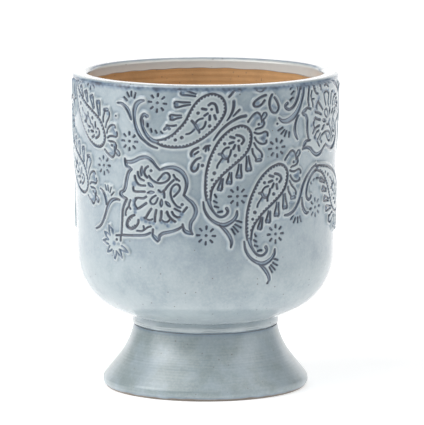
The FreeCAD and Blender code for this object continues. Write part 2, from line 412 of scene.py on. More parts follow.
def shell(name, radius, height, around, values, closed):
    """A smooth mesh over a grid of rows up the path and columns round the pot, in millimetres."""
    rows, columns = radius.shape
    points = np.empty((rows, columns, 3), np.float32)
    points[..., 0] = radius * np.sin(around)
    points[..., 1] = -radius * np.cos(around)
    points[..., 2] = height
    row = np.arange(rows - 1)[:, None] * columns
    column = np.arange(columns if closed else columns - 1)[None, :]
    after = (column + 1) % columns
    above = row + columns
    corners = np.stack([row + column, row + after, above + after, above + column], axis=-1)
    corners = corners.reshape(-1, 4).astype(np.int32)
    mesh = bpy.data.meshes.new(name)
    mesh.vertices.add(rows * columns)
    mesh.vertices.foreach_set("co", (points * millimetre).ravel())
    mesh.loops.add(corners.size)
    mesh.loops.foreach_set("vertex_index", corners.ravel())
    mesh.polygons.add(len(corners))
    mesh.polygons.foreach_set("loop_start", np.arange(0, corners.size, 4, dtype=np.int32))
    mesh.polygons.foreach_set("use_smooth", np.ones(len(corners), bool))
    for key, value in values.items():
        layer = mesh.attributes.new(key, "FLOAT", "POINT")
        layer.data.foreach_set("value", np.broadcast_to(value, radius.shape).astype(np.float32).ravel())
    left, low = np.broadcast_arrays(column, row)
    across = np.stack([left, left + 1, left + 1, left], axis=-1)
    up = np.stack([low, low, low + columns, low + columns], axis=-1)
    layer = mesh.uv_layers.new(name="OFBake")
    flat = np.stack([across / columns, up / columns / (rows - 1)], axis=-1).astype(np.float32)
    layer.data.foreach_set("uv", flat.ravel())
    mesh.update(calc_edges=True)
    mesh.validate()
    piece = bpy.data.objects.new(name, mesh)
    bpy.context.scene.collection.objects.link(piece)
    return piece


def around_pot(columns):
    """The turn of each column from the front, in radians."""
    return np.arange(columns) * 2 * math.pi / columns


# The drawing of the border: millimetres up the wall, and round it where its radius is 100

half_turn = 100 * math.pi


def smooth_line(points, closed=False, step=0.35, cuts=24):
    """An even row of points along a smooth curve through the given ones.

    A point's further columns, such as its half width, are carried along.
    """
    points = np.array(points, float)
    if len(points) == 1:
        return points
    if len(points) == 2:
        points = np.array([points[0], points.mean(axis=0), points[1]])
    if closed:
        ends = np.vstack([points[-1:], points, points[:2]])
    else:
        ends = np.vstack([2 * points[0] - points[1], points, 2 * points[-1] - points[-2]])
    curve = []
    for index in range(1, len(ends) - 2):
        p0, p1, p2, p3 = ends[index - 1 : index + 3]
        t = np.linspace(0, 1, cuts, endpoint=False)[:, None]
        curve.append(
            0.5
            * (
                2 * p1
                + (p2 - p0) * t
                + (2 * p0 - 5 * p1 + 4 * p2 - p3) * t**2
                + (3 * p1 - p0 - 3 * p2 + p3) * t**3
            )
        )
    curve = np.vstack([*curve, ends[-2:-1]])
    reach = np.r_[0, np.cumsum(np.hypot(*np.diff(curve[:, :2], axis=0).T))]
    places = np.linspace(0, reach[-1], max(3, round(reach[-1] / step) + 1))
    return np.stack([np.interp(places, reach, column) for column in curve.T], axis=1)


def beside_line(line, distance):
    """The same line, moved sideways to its left."""
    ahead = np.gradient(line, axis=0)
    ahead /= np.maximum(np.hypot(*ahead.T), 1e-9)[:, None]
    return line + distance * np.stack([-ahead[:, 1], ahead[:, 0]], axis=1)


def ease(value, low, high):
    """A smooth step from 0 at the low value to 1 at the high one."""
    share = np.clip((value - low) / (high - low), 0, 1)
    return share * share * (3 - 2 * share)


class WallDrawing:
    """Rasters of half the wall: where clay is raised, how deep it is cut, and how the glaze lies."""

    margin = 150  # columns kept beyond each end, for what is drawn over it
    reach = 3.5  # millimetres from a line that it still changes
    stretch = 24  # points of a line that are measured at a time
    full_half = 0.42  # half width from which a line is cut to its full depth

    def __init__(self, columns, low, high, rise, ornament_margin):
        self.columns = columns
        self.pitch = half_turn / columns
        self.heights = np.arange(low, high, rise)
        self.low = low
        self.rise = rise
        self.ornament_margin = ornament_margin
        shape = (len(self.heights), columns + 2 * self.margin)
        self.raised = np.zeros(shape)
        self.cut = np.zeros(shape)
        self.pool = np.zeros(shape)
        self.halo = np.zeros(shape)

    def window(self, low, high):
        """The rasters' slices over a box, with the place of each of their cells."""
        left = int((low[0] + half_turn / 2) / self.pitch) + self.margin - 1
        right = int((high[0] + half_turn / 2) / self.pitch) + self.margin + 2
        bottom = int((low[1] - self.low) / self.rise) - 1
        top = int((high[1] - self.low) / self.rise) + 2
        left, right = max(left, 0), min(right, self.raised.shape[1])
        bottom, top = max(bottom, 0), min(top, self.raised.shape[0])
        if left >= right or bottom >= top:
            return None
        across = (np.arange(left, right) - self.margin) * self.pitch - half_turn / 2
        up = self.low + np.arange(bottom, top) * self.rise
        return (slice(bottom, top), slice(left, right)), across[None, :], up[:, None]

    def line(self, points, half=1.0, fill=1.0, tone=1.0, depth=1.0, raised=True, soft=0.30):
        """A carved line, of one half width or with one for each point.

        Where it is wide, its middle is as pale as the fill, between two dark edges.
        """
        path = smooth_line(points)
        halves = path[:, 2] if path.shape[1] > 2 else np.full(len(path), half)
        path = path[:, :2]
        spread = halves.max() + self.reach
        found = self.window(path.min(axis=0) - spread, path.max(axis=0) + spread)
        if found is None:
            return
        cells, across, up = found
        outside = np.full((up.size, across.size), spread)
        own = np.full(outside.shape, halves.max())
        for start in range(0, len(path), self.stretch):
            end = start + self.stretch + 1
            piece, widths = path[start:end], halves[start:end]
            near = self.window(piece.min(axis=0) - spread, piece.max(axis=0) + spread)
            if near is None:
                continue
            part = tuple(
                slice(inner.start - whole.start, inner.stop - whole.start)
                for inner, whole in zip(near[0], cells)
            )
            gap = np.hypot(near[1][..., None] - piece[:, 0], near[2][..., None] - piece[:, 1]) - widths
            nearest = widths[gap.argmin(axis=2)]
            gap = gap.min(axis=2)
            own[part] = np.where(gap < outside[part], nearest, own[part])
            outside[part] = np.minimum(gap, outside[part])
        strength = np.clip(own / self.full_half, 0, 1)
        shade = fill + (1 - fill) * (1 - ease(-outside, 0.5, 1.1))
        shade = tone * strength * shade * np.exp(-((np.maximum(outside, 0) / soft) ** 2))
        sunk = depth * strength * np.clip(1 - ((own + outside) / (own + 0.5)) ** 2, 0, 1) ** 0.8
        self.pool[cells] = np.maximum(self.pool[cells], shade)
        self.cut[cells] = np.maximum(self.cut[cells], sunk)
        if raised:
            ridge = min(1, tone + 0.3) * np.exp(-(((outside - 1.0) / 0.6) ** 2))
            self.halo[cells] = np.maximum(self.halo[cells], ridge)
            self.raised[cells] = np.maximum(self.raised[cells], outside < self.ornament_margin)

    def wash(self, place, half, tone):
        """A round, shallow hollow of thicker glaze, with no line round it."""
        self.line([place], half * 0.7, tone=tone, depth=0.3, raised=False, soft=0.8)

    def area(self, points):
        """A raised patch of clay."""
        edge = smooth_line(points, closed=True)
        found = self.window(edge.min(axis=0), edge.max(axis=0))
        if found is None:
            return
        cells, across, up = found
        inside = np.zeros(np.broadcast(across, up).shape, bool)
        for (x0, y0), (x1, y1) in zip(edge, np.roll(edge, -1, axis=0)):
            if y0 != y1:
                crosses = (y0 > up) != (y1 > up)
                inside ^= crosses & (across < (x1 - x0) * (up - y0) / (y1 - y0) + x0)
        self.raised[cells] = np.maximum(self.raised[cells], inside)

    def folded(self, values):
        """One half turn, with what was drawn over its ends brought round."""
        middle = values[:, self.margin : self.margin + self.columns].copy()
        left = values[:, : self.margin]
        right = values[:, self.margin + self.columns :]
        middle[:, -self.margin :] = np.maximum(middle[:, -self.margin :], left)
        middle[:, : self.margin] = np.maximum(middle[:, : self.margin], right)
        return middle


def softened(values, reach, passes=3):
    """A blur that closes round the pot."""
    for _ in range(passes):
        for axis in (0, 1):
            total = values.copy()
            for shift in range(1, reach + 1):
                total += np.roll(values, shift, axis) + np.roll(values, -shift, axis)
            values = total / (2 * reach + 1)
    return values


class Place:
    """Moves a motif from where it was drawn to one of its places on the wall."""

    def __init__(self, tip=(0.0, 0.0), turn=0.0, mirrored=False, drawn_at=(0.0, 0.0)):
        self.tip = np.array(tip, float)
        self.turn = math.radians(turn)
        self.mirror = -1 if mirrored else 1
        self.drawn_at = np.array(drawn_at, float)

    def __call__(self, points):
        points = np.array(points, float)
        x = (points[:, 0] - self.drawn_at[0]) * self.mirror
        y = points[:, 1] - self.drawn_at[1]
        cos, sin = math.cos(self.turn), math.sin(self.turn)
        across = x * cos - y * sin + self.tip[0]
        return np.column_stack([across, x * sin + y * cos + self.tip[1], points[:, 2:]])


# The motifs, each in tables of what draw_strokes draws.  A line is a half width and its places,
# and a band's places each have their own half width.  A wash is a place with its half width and
# tone, a dot a place with its half width, and a bud its root, its tip and its half width.

paisley_outline = [
    (-1.7, -0.9), (-2.6, 4.3), (-2.7, 9.5), (-2.6, 14.8), (-2.1, 20.0), (-1.0, 25.2), (0.5, 30.4),
    (2.7, 35.6), (5.3, 40.8), (7.7, 44.4), (10.3, 47.6), (13.8, 50.7), (16.8, 52.8), (20.4, 54.3),
    (23.6, 55.0), (26.7, 54.4), (29.3, 52.8), (31.1, 50.2), (31.8, 47.0), (31.5, 43.4), (30.9, 40.3),
    (29.8, 37.2), (28.3, 34.5), (26.1, 31.9), (23.3, 29.3), (20.2, 26.7), (17.1, 24.1), (13.9, 21.5),
    (11.1, 18.9), (8.5, 16.3), (5.9, 13.2), (3.8, 10.1), (2.1, 6.4), (1.4, 2.8), (1.2, -0.9),
]
paisley_horn = [
    (-0.2, -1.0, 1.5), (0.6, -4.0, 1.2), (2.0, -7.2, 0.85), (4.0, -10.2, 0.75), (6.4, -12.6, 0.75),
    (9.0, -13.5, 0.75), (11.6, -12.8, 0.75), (13.6, -11.0, 0.8), (14.1, -8.8, 0.9), (13.3, -7.2, 1.15),
]
paisley_horn_dashes = [
    ((4.3, 3.3), (5.6, 1.3)), ((3.6, -1.4), (5.9, -2.8)), ((4.2, -5.5), (7.1, -6.5)),
    ((6.6, -10.0), (10.0, -9.5)),
]
paisley_buds = [
    ((9.8, 15.4), (7.7, 6.4), 1.9), ((16.0, 19.8), (14.7, 11.0), 2.3), ((23.1, 25.8), (22.2, 15.3), 2.5),
    ((28.8, 31.8), (30.0, 20.3), 2.5),
]
paisley_lines = [
    (0.6, [(9.4, 30.2), (7.8, 27.8), (6.4, 25.6), (5.9, 23.6)]),
    (0.9, [(20.2, 47.9), (22.9, 47.3), (25.2, 45.8), (25.8, 43.8), (25.2, 42.4), (24.3, 41.3)]),
    (0.95, [(15.7, 46.7), (18.6, 45.8)]), (0.9, [(15.1, 41.8), (18.0, 42.7)]),
    (0.85, [(17.9, 37.6), (19.2, 40.4)]), (0.95, [(21.9, 39.7), (22.4, 36.4)]),
    (0.65, [(14.6, 38.8), (12.2, 38.1), (10.4, 36.2), (9.5, 34.2)]),
    (0.7, [(16.3, 36.6), (15.6, 33.4), (14.3, 30.6), (14.2, 27.8)]),
    (0.6, [(33.8, 41.4), (35.9, 37.8), (38.4, 35.4), (40.2, 33.0), (40.2, 30.6)]),
    (0.75, [(32.4, 37.0), (33.0, 33.8), (35.0, 30.6), (35.8, 28.6)]),
    (0.65, [(34.0, 49.3), (36.4, 48.4), (39.4, 48.6), (42.4, 49.6), (44.4, 48.6), (44.6, 46.4)]),
    (0.65, [(34.2, 45.6), (36.0, 42.8), (38.4, 41.0), (41.2, 40.4), (43.4, 41.2), (43.7, 42.8)]),
    (0.75, [(29.0, 57.6), (31.0, 60.4), (33.4, 63.0), (35.8, 64.2), (37.8, 63.2)]),
    (0.55, [(37.8, 63.2), (39.0, 61.4), (39.6, 59.0), (39.8, 56.8)]),
    (0.5, [(40.0, 61.4), (41.2, 63.6), (43.0, 63.8), (43.7, 62.0), (42.4, 60.0), (41.0, 58.8)]),
    (0.6, [(41.0, 58.6), (41.7, 56.0), (40.6, 53.6), (38.4, 52.6), (36.0, 52.2), (34.8, 51.6)]),
]
paisley_bands = [
    [(7.4, 33.9, 0.8), (9.6, 33.6, 1.1), (10.8, 31.4, 1.2), (12.6, 30.3, 0.9), (13.9, 30.4, 0.8)],
    [(35.9, 28.3, 1.3), (38.8, 28.5, 1.3)],
]
paisley_washes = [
    (12.4, 31.6, 1.4, 0.5), (10.8, 30.2, 1.2, 0.5), (9.4, 28.6, 1.0, 0.4), (5.1, 29.6, 0.7, 0.25),
    (38.9, 31.2, 1.5, 0.4), (42.3, 47.0, 1.6, 0.4), (41.1, 44.2, 1.5, 0.45), (42.0, 42.3, 1.4, 0.42),
    (34.0, 61.7, 1.5, 0.5), (36.9, 61.0, 1.5, 0.4), (39.4, 59.8, 1.2, 0.45), (42.3, 62.0, 1.1, 0.35),
    (39.8, 55.8, 1.1, 0.45),
]
paisley_dots = [
    (21.9, 43.6, 0.85), (11.5, 41.6, 1.1), (19.4, 32.6, 1.2), (4.0, 19.6, 1.3), (2.3, 14.6, 0.9),
    (37.3, 55.4, 0.95),
]

high_outline = [
    (-35.8, 198.8), (-31.9, 197.1), (-26.6, 196.2), (-21.4, 196.2), (-16.1, 196.6), (-10.8, 198.3),
    (-5.6, 200.9), (-1.0, 203.9), (4.3, 208.1), (8.2, 212.1), (11.5, 216.7), (14.2, 221.9), (14.9, 225.9),
    (14.2, 230.5), (12.2, 233.8), (8.9, 235.9), (4.9, 236.8), (1.0, 235.8), (-2.9, 233.8), (-6.2, 230.8),
    (-8.9, 227.2), (-11.5, 222.6), (-14.1, 217.3), (-16.8, 213.4), (-20.1, 209.8), (-23.3, 206.5),
    (-26.6, 204.2), (-29.9, 202.5), (-33.2, 201.5), (-36.0, 201.0),
]
high_horn = [
    (-36.4, 199.9, 1.5), (-39.4, 200.6, 1.4), (-42.4, 202.6, 1.3), (-45.2, 206.0, 1.2),
    (-47.4, 210.4, 1.05), (-48.5, 214.6, 1.0), (-48.0, 218.2, 1.0), (-46.2, 220.0, 1.15),
    (-43.9, 218.8, 1.3),
]
high_horn_dashes = [
    ((-47.1, 215.6), (-46.9, 212.0)), ((-44.1, 213.0), (-43.9, 211.0)), ((-41.4, 209.2), (-40.9, 207.0)),
    ((-37.8, 208.2), (-36.8, 206.4)), ((-33.5, 207.5), (-32.3, 206.4)),
]
high_buds = [
    ((-17.6, 219.6), (-26.2, 218.4), 2.4), ((-11.0, 229.4), (-22.8, 228.2), 2.6),
    ((-7.0, 235.7), (-18.0, 238.2), 2.6),
]
high_lines = [
    (0.55, [(-8.0, 210.0), (-9.8, 208.2), (-12.0, 206.8), (-14.0, 206.4)]),
    (0.9, [(2.4, 228.2), (4.4, 229.6), (6.6, 229.2), (8.0, 227.0), (8.5, 224.4), (8.8, 222.8)]),
    (0.95, [(-2.3, 225.6), (0.6, 225.0)]), (0.85, [(-0.6, 220.4), (1.6, 222.0)]),
    (0.95, [(3.2, 220.3), (3.1, 217.3)]), (0.9, [(6.6, 220.6), (7.6, 217.7)]),
    (0.65, [(-1.9, 218.3), (-4.4, 217.6), (-6.4, 216.0), (-7.2, 214.4)]),
    (0.7, [(0.2, 215.8), (-0.4, 213.2), (-2.0, 210.8), (-4.2, 209.6), (-4.4, 207.6)]),
    (0.75, [(-21.5, 212.8), (-25.0, 212.3), (-28.4, 212.6)]),
]
high_bands = [
    [(-9.8, 216.4, 0.8), (-8.0, 214.4, 1.0), (-6.4, 212.0, 1.2), (-5.0, 209.4, 0.9)],
    [(-30.2, 209.6, 0.9), (-28.0, 211.2, 1.1), (-26.4, 210.0, 0.8)],
]
high_washes = [(-5.6, 212.8, 1.4, 0.5), (-7.0, 211.0, 1.2, 0.5), (-8.6, 209.6, 1.0, 0.4)]
high_dots = [
    (4.5, 225.1, 0.85), (-5.3, 222.3, 1.15), (3.1, 212.6, 1.2), (-17.3, 203.8, 1.25), (-22.1, 201.9, 1.05),
]

medallion_bands = [
    [(-68.2, 127.5, 0.8), (-67.6, 133.0, 0.75), (-67.0, 140.0, 0.75), (-66.3, 147.0, 0.8),
     (-64.5, 151.5, 0.85), (-62.5, 155.0, 0.8)],
    [(-62.6, 155.5, 0.7), (-66.4, 156.6, 1.1), (-68.2, 159.0, 1.4), (-66.6, 160.6, 1.0),
     (-64.8, 161.6, 1.1), (-63.4, 164.4, 1.25), (-62.6, 168.0, 1.25), (-61.6, 172.0, 1.2),
     (-60.0, 176.0, 1.1), (-57.6, 178.0, 0.75)],
    [(-58.6, 178.8, 0.7), (-61.6, 180.0, 1.0), (-62.8, 182.4, 1.15), (-63.5, 185.6, 0.6)],
    [(-62.4, 183.4, 1.2), (-58.6, 183.5, 1.3), (-54.6, 184.8, 1.35), (-50.6, 186.8, 1.35),
     (-46.4, 187.8, 1.3), (-43.0, 187.2, 1.2), (-40.2, 185.4, 1.1), (-38.0, 182.8, 0.9),
     (-36.0, 180.4, 0.75), (-34.0, 178.8, 0.65)],
    [(-34.0, 178.8, 0.65), (-30.4, 180.2, 1.0), (-26.6, 180.9, 1.3), (-22.6, 180.7, 1.55),
     (-18.8, 179.0, 1.6), (-15.8, 176.0, 1.5), (-14.1, 172.0, 1.3), (-13.9, 168.0, 1.1),
     (-14.8, 164.0, 0.9), (-16.0, 160.6, 0.7)],
    [(-16.0, 160.6, 0.7), (-13.0, 157.6, 0.9), (-9.8, 155.0, 1.2), (-7.6, 151.4, 1.35),
     (-7.2, 147.6, 1.35), (-8.6, 143.6, 1.25), (-10.8, 140.0, 1.2), (-11.3, 136.0, 1.0),
     (-10.4, 132.6, 0.75), (-9.6, 131.2, 0.6)],
    [(-9.8, 131.4, 0.6), (-13.4, 132.4, 1.35), (-15.9, 134.2, 1.0), (-17.0, 138.4, 0.6)],
    [(-17.0, 137.0, 0.7), (-20.0, 135.0, 0.85), (-24.0, 133.2, 1.0), (-28.0, 132.0, 1.15),
     (-32.0, 131.0, 1.25), (-34.8, 129.2, 1.0), (-35.2, 126.6, 0.8), (-36.2, 125.0, 0.6)],
    [(-40.2, 133.6, 0.7), (-40.4, 129.8, 0.8), (-38.2, 127.2, 1.35), (-36.4, 125.0, 0.8)],
    [(-42.4, 130.9, 0.65), (-46.0, 129.2, 0.75), (-50.0, 128.5, 0.75), (-56.0, 128.0, 0.75),
     (-62.0, 127.6, 0.75), (-68.2, 127.4, 0.75)],
    [(-48.8, 180.6, 0.5), (-49.2, 177.4, 1.1), (-49.2, 174.0, 0.7)],
    [(-43.6, 168.6, 0.5), (-41.9, 167.2, 1.3), (-40.0, 165.8, 0.5)],
    [(-44.0, 161.2, 0.5), (-41.6, 161.5, 1.3), (-39.2, 161.8, 0.5)],
    [(-33.1, 156.6, 0.5), (-33.3, 153.8, 1.35), (-33.4, 151.4, 0.5)],
    [(-29.8, 155.2, 0.5), (-28.2, 153.4, 1.3), (-26.4, 151.6, 0.5)],
]
medallion_lines = [
    (0.85, [(-43.7, 181.0), (-45.6, 179.6), (-46.7, 177.0), (-46.0, 174.4), (-44.4, 172.6)]),
    (0.7, [(-43.0, 174.0), (-41.0, 171.6), (-38.0, 169.6), (-34.6, 168.8), (-31.0, 169.5), (-28.0, 171.4),
           (-26.6, 174.0), (-27.4, 176.1), (-29.4, 176.8), (-31.8, 175.7), (-33.8, 173.4),
           (-35.8, 171.0)]),
    (0.7, [(-18.6, 151.0), (-21.2, 152.0), (-23.6, 154.8), (-25.4, 158.4), (-26.0, 162.0), (-25.2, 165.6),
           (-23.0, 168.0), (-20.6, 168.4), (-19.0, 166.6), (-19.4, 164.0), (-21.4, 161.4),
           (-23.6, 159.2)]),
    (0.8, [(-31.4, 163.4), (-30.9, 161.0), (-30.9, 158.4)]),
    (0.55, [(-31.4, 163.2), (-33.4, 162.0), (-35.4, 163.6)]),
    (0.6, [(-47.2, 142.2), (-45.0, 140.9), (-42.8, 140.5), (-40.6, 141.4)]),
    (0.6, [(-33.4, 141.4), (-31.0, 139.8), (-28.6, 140.0), (-26.6, 141.8)]),
    (0.6, [(-53.6, 156.2), (-55.2, 153.8), (-55.0, 151.2), (-53.4, 149.2)]),
    (0.6, [(-37.6, 159.4), (-40.6, 157.6), (-42.2, 155.0), (-40.4, 152.7), (-37.8, 153.8), (-36.0, 157.6)]),
    (0.8, [(-30.2, 164.2), (-28.6, 166.6), (-26.0, 169.4), (-23.6, 171.6)]),
    (0.65, [(-23.6, 175.6), (-22.4, 173.4), (-20.8, 172.2), (-19.4, 171.2)]),
    (0.65, [(-52.2, 176.4), (-51.8, 173.6), (-50.0, 171.4), (-47.2, 170.2)]),
    (0.8, [(-46.2, 166.4), (-49.4, 166.2), (-52.0, 167.2), (-54.2, 170.4), (-54.8, 173.2)]),
    (0.8, [(-56.4, 164.6), (-56.0, 162.2), (-54.0, 161.3), (-50.0, 161.6), (-46.6, 161.8)]),
    (0.8, [(-45.4, 158.1), (-48.0, 156.7), (-52.0, 156.7), (-54.4, 156.4)]),
    (0.85, [(-45.4, 153.3), (-48.2, 151.3), (-51.0, 149.5), (-53.0, 148.5)]),
    (0.85, [(-41.4, 149.2), (-43.4, 146.4), (-45.4, 143.2), (-46.6, 141.6)]),
    (0.9, [(-37.4, 148.4), (-38.3, 144.0), (-38.5, 139.8)]),
    (0.9, [(-33.3, 147.8), (-33.4, 144.4), (-34.2, 140.8)]),
    (0.9, [(-28.8, 147.6), (-27.6, 144.6), (-25.0, 141.9), (-22.6, 140.3)]),
    (0.8, [(-25.0, 147.6), (-23.6, 145.2), (-21.0, 143.7), (-19.2, 143.8)]),
    (0.7, [(-23.0, 150.1), (-20.8, 149.0), (-18.6, 148.0)]),
    (0.8, [(-16.4, 148.0), (-14.8, 150.0), (-13.8, 151.3)]),
    (0.8, [(-55.8, 143.5), (-58.6, 142.4), (-61.2, 140.4), (-62.8, 137.2), (-62.6, 134.4), (-60.0, 132.7),
           (-57.0, 133.3), (-54.6, 135.0), (-52.6, 137.8), (-52.3, 140.0)]),
    (0.65, [(-59.1, 154.6), (-60.3, 151.6), (-60.2, 149.4), (-59.2, 147.9)]),
    (0.6, [(-60.8, 149.6), (-62.8, 147.4), (-63.8, 144.6), (-63.6, 142.8)]),
    (0.6, [(-53.6, 131.7), (-50.0, 131.7), (-47.2, 133.1), (-44.6, 134.9), (-42.0, 135.9)]),
    (0.5, [(-47.4, 133.3), (-48.0, 135.8)]), (0.6, [(-73.4, 126.6), (-69.6, 127.0)]),
    (0.7, [(-68.9, 127.2), (-69.1, 123.0)]),
]
medallion_dots = [(-41.2, 178.0, 1.0), (-17.3, 153.3, 1.1), (-21.4, 172.4, 1.0)]
medallion_washes = [
    (-31.0, 173.4, 1.9, 0.3), (-22.6, 164.0, 1.8, 0.3), (-37.0, 135.4, 1.2, 0.25),
    (-55.6, 167.0, 2.0, 0.55), (-55.8, 154.4, 1.3, 0.5), (-55.6, 151.2, 1.3, 0.5),
    (-54.6, 148.4, 1.6, 0.55), (-55.0, 145.8, 1.1, 0.5), (-49.2, 141.2, 1.7, 0.55),
    (-45.8, 139.8, 1.5, 0.5), (-42.4, 139.0, 1.3, 0.5), (-39.6, 138.6, 1.1, 0.5), (-33.2, 139.8, 1.3, 0.55),
    (-30.0, 139.2, 1.5, 0.5), (-28.2, 137.2, 1.1, 0.55), (-25.6, 140.4, 1.1, 0.5),
    (-18.8, 144.2, 1.1, 0.55), (-17.6, 146.4, 1.3, 0.55), (-19.6, 142.4, 0.9, 0.5),
    (-34.4, 163.0, 1.2, 0.5), (-32.2, 161.8, 1.4, 0.55),
]
medallion_loop = [(-58.6, 142.4), (-62.8, 137.2), (-60.0, 132.7), (-54.6, 135.0)]
medallion_clay = [
    (-68.5, 127.6), (-67.0, 140.5), (-66.3, 149.6), (-68.5, 158.5), (-62.5, 167.1), (-61.0, 173.9),
    (-62.5, 183.5), (-53.5, 185.3), (-45.5, 188.0), (-37.3, 182.3), (-33.9, 178.5), (-23.8, 181.5),
    (-14.0, 173.9), (-15.9, 160.3), (-6.5, 149.6), (-11.0, 137.5), (-10.5, 131.5), (-17.4, 137.1),
    (-23.8, 132.9), (-33.5, 130.6), (-36.8, 126.5), (-41.5, 131.0), (-49.8, 128.7), (-58.8, 128.0),
]

spray_bands = [
    [(-69.3, 227.2, 0.5), (-66.0, 227.2, 0.8), (-62.6, 225.4, 1.15), (-59.8, 222.4, 1.35),
     (-58.2, 218.8, 1.0), (-57.2, 215.6, 0.5)],
    [(-46.4, 230.4, 0.7), (-49.6, 229.6, 1.3), (-52.4, 227.4, 1.6), (-54.0, 223.6, 1.5),
     (-54.4, 219.0, 1.2), (-54.0, 214.0, 1.1), (-52.8, 209.6, 1.25), (-50.8, 205.6, 1.35),
     (-48.6, 202.6, 1.15), (-46.0, 200.2, 0.9), (-42.4, 197.6, 0.8), (-39.0, 196.0, 0.7),
     (-36.0, 195.2, 0.5)],
    [(63.4, 142.8, 0.6), (67.0, 143.0, 0.9), (70.6, 144.6, 1.0), (73.6, 147.4, 1.0), (76.0, 151.0, 1.0),
     (77.8, 155.0, 1.1), (79.0, 159.0, 1.2), (80.6, 163.4, 1.1), (83.4, 168.2, 1.0), (86.8, 172.0, 0.9),
     (91.0, 175.4, 0.8), (96.4, 178.2, 0.5)],
    [(80.4, 154.4, 0.6), (80.8, 150.0, 0.9), (82.0, 146.4, 1.1), (84.0, 143.6, 1.2), (86.4, 142.2, 0.9),
     (88.4, 142.6, 0.4)],
    [(-69.4, 153.8, 0.5), (-72.6, 154.2, 0.8), (-76.4, 153.4, 1.2), (-79.6, 151.0, 1.4),
     (-82.0, 147.4, 1.3), (-84.0, 143.0, 1.1), (-86.2, 138.4, 1.0), (-89.4, 133.8, 0.9),
     (-93.0, 131.0, 0.7), (-97.4, 129.2, 0.4)],
    [(-90.0, 160.4, 0.5), (-87.0, 158.6, 0.9), (-84.6, 155.4, 1.2), (-83.4, 151.6, 1.2),
     (-83.6, 149.0, 0.6)],
    [(79.2, 243.0, 1.2), (79.3, 238.0, 1.25), (78.8, 233.0, 1.3), (77.4, 228.0, 1.3), (75.4, 223.6, 1.55),
     (72.2, 219.0, 1.9), (68.0, 215.6, 2.0), (63.6, 214.0, 1.75), (59.6, 214.4, 1.2), (56.6, 216.8, 0.5)],
    [(75.0, 217.4, 0.4), (73.0, 214.4, 0.8), (71.6, 210.6, 1.0), (71.4, 206.6, 1.1), (72.4, 202.8, 1.0),
     (74.4, 199.4, 0.5)],
    [(75.0, 243.0, 1.25), (75.0, 238.0, 1.25), (74.2, 233.4, 1.2), (72.4, 228.6, 1.1), (69.8, 224.6, 1.0),
     (66.4, 222.6, 0.95), (63.4, 223.3, 0.9), (62.0, 225.4, 1.0), (63.8, 227.2, 1.15)],
    [(97.8, 174.6, 1.3), (94.6, 173.2, 1.2), (91.0, 170.8, 1.1), (88.0, 167.4, 1.05), (86.0, 163.2, 1.05),
     (85.0, 158.8, 1.05), (85.2, 155.4, 1.0), (86.8, 153.0, 0.95), (89.2, 152.4, 0.95),
     (90.8, 154.6, 1.1)],
    [(21.0, 239.0, 0.9), (23.0, 240.0, 1.1), (24.6, 242.4, 1.1)],
    [(38.4, 238.8, 0.9), (41.6, 238.2, 1.2), (44.8, 240.4, 1.0)],
]
crescent_bands = [
    [(-4.2, -2.1, 0.4), (-3.0, -8.6, 0.8), (1.0, -14.8, 0.95), (7.2, -18.8, 1.25), (12.4, -19.4, 1.5),
     (17.7, -16.7, 1.3), (20.5, -13.0, 1.05), (21.1, -9.4, 0.6)],
    [(7.8, -19.8, 0.5), (12.0, -23.4, 1.2), (15.4, -27.9, 1.25), (17.0, -32.3, 1.0), (16.5, -36.6, 0.5)],
]
crescent_rays = [
    ((20.4, -16.6), (24.8, -18.0)), ((19.8, -19.4), (24.4, -22.0)), ((18.6, -21.2), (22.4, -25.2)),
    ((17.4, -23.0), (19.9, -27.0)),
]
rays = [
    ((-64.2, 231.7), (-61.5, 229.5)), ((-61.2, 235.4), (-59.7, 232.4)), ((-57.4, 236.4), (-57.5, 233.0)),
    ((-53.9, 235.6), (-54.9, 231.8)), ((57.1, 207.1), (60.9, 209.1)), ((59.8, 204.4), (62.8, 207.2)),
    ((62.8, 202.4), (64.5, 206.2)), ((67.0, 201.6), (67.2, 205.2)), ((70.5, 139.0), (72.5, 141.6)),
    ((73.3, 136.2), (75.1, 139.6)), ((77.6, 135.8), (77.6, 139.8)), ((81.4, 136.2), (79.9, 140.2)),
    ((68.9, 239.0), (67.5, 237.6)), ((70.6, 235.6), (68.5, 233.6)), ((69.8, 230.8), (67.2, 229.0)),
    ((89.2, 161.8), (89.2, 159.8)), ((91.6, 165.3), (92.6, 163.9)), ((95.2, 166.0), (96.6, 166.8)),
    ((99.4, 167.1), (101.0, 167.3)),
]
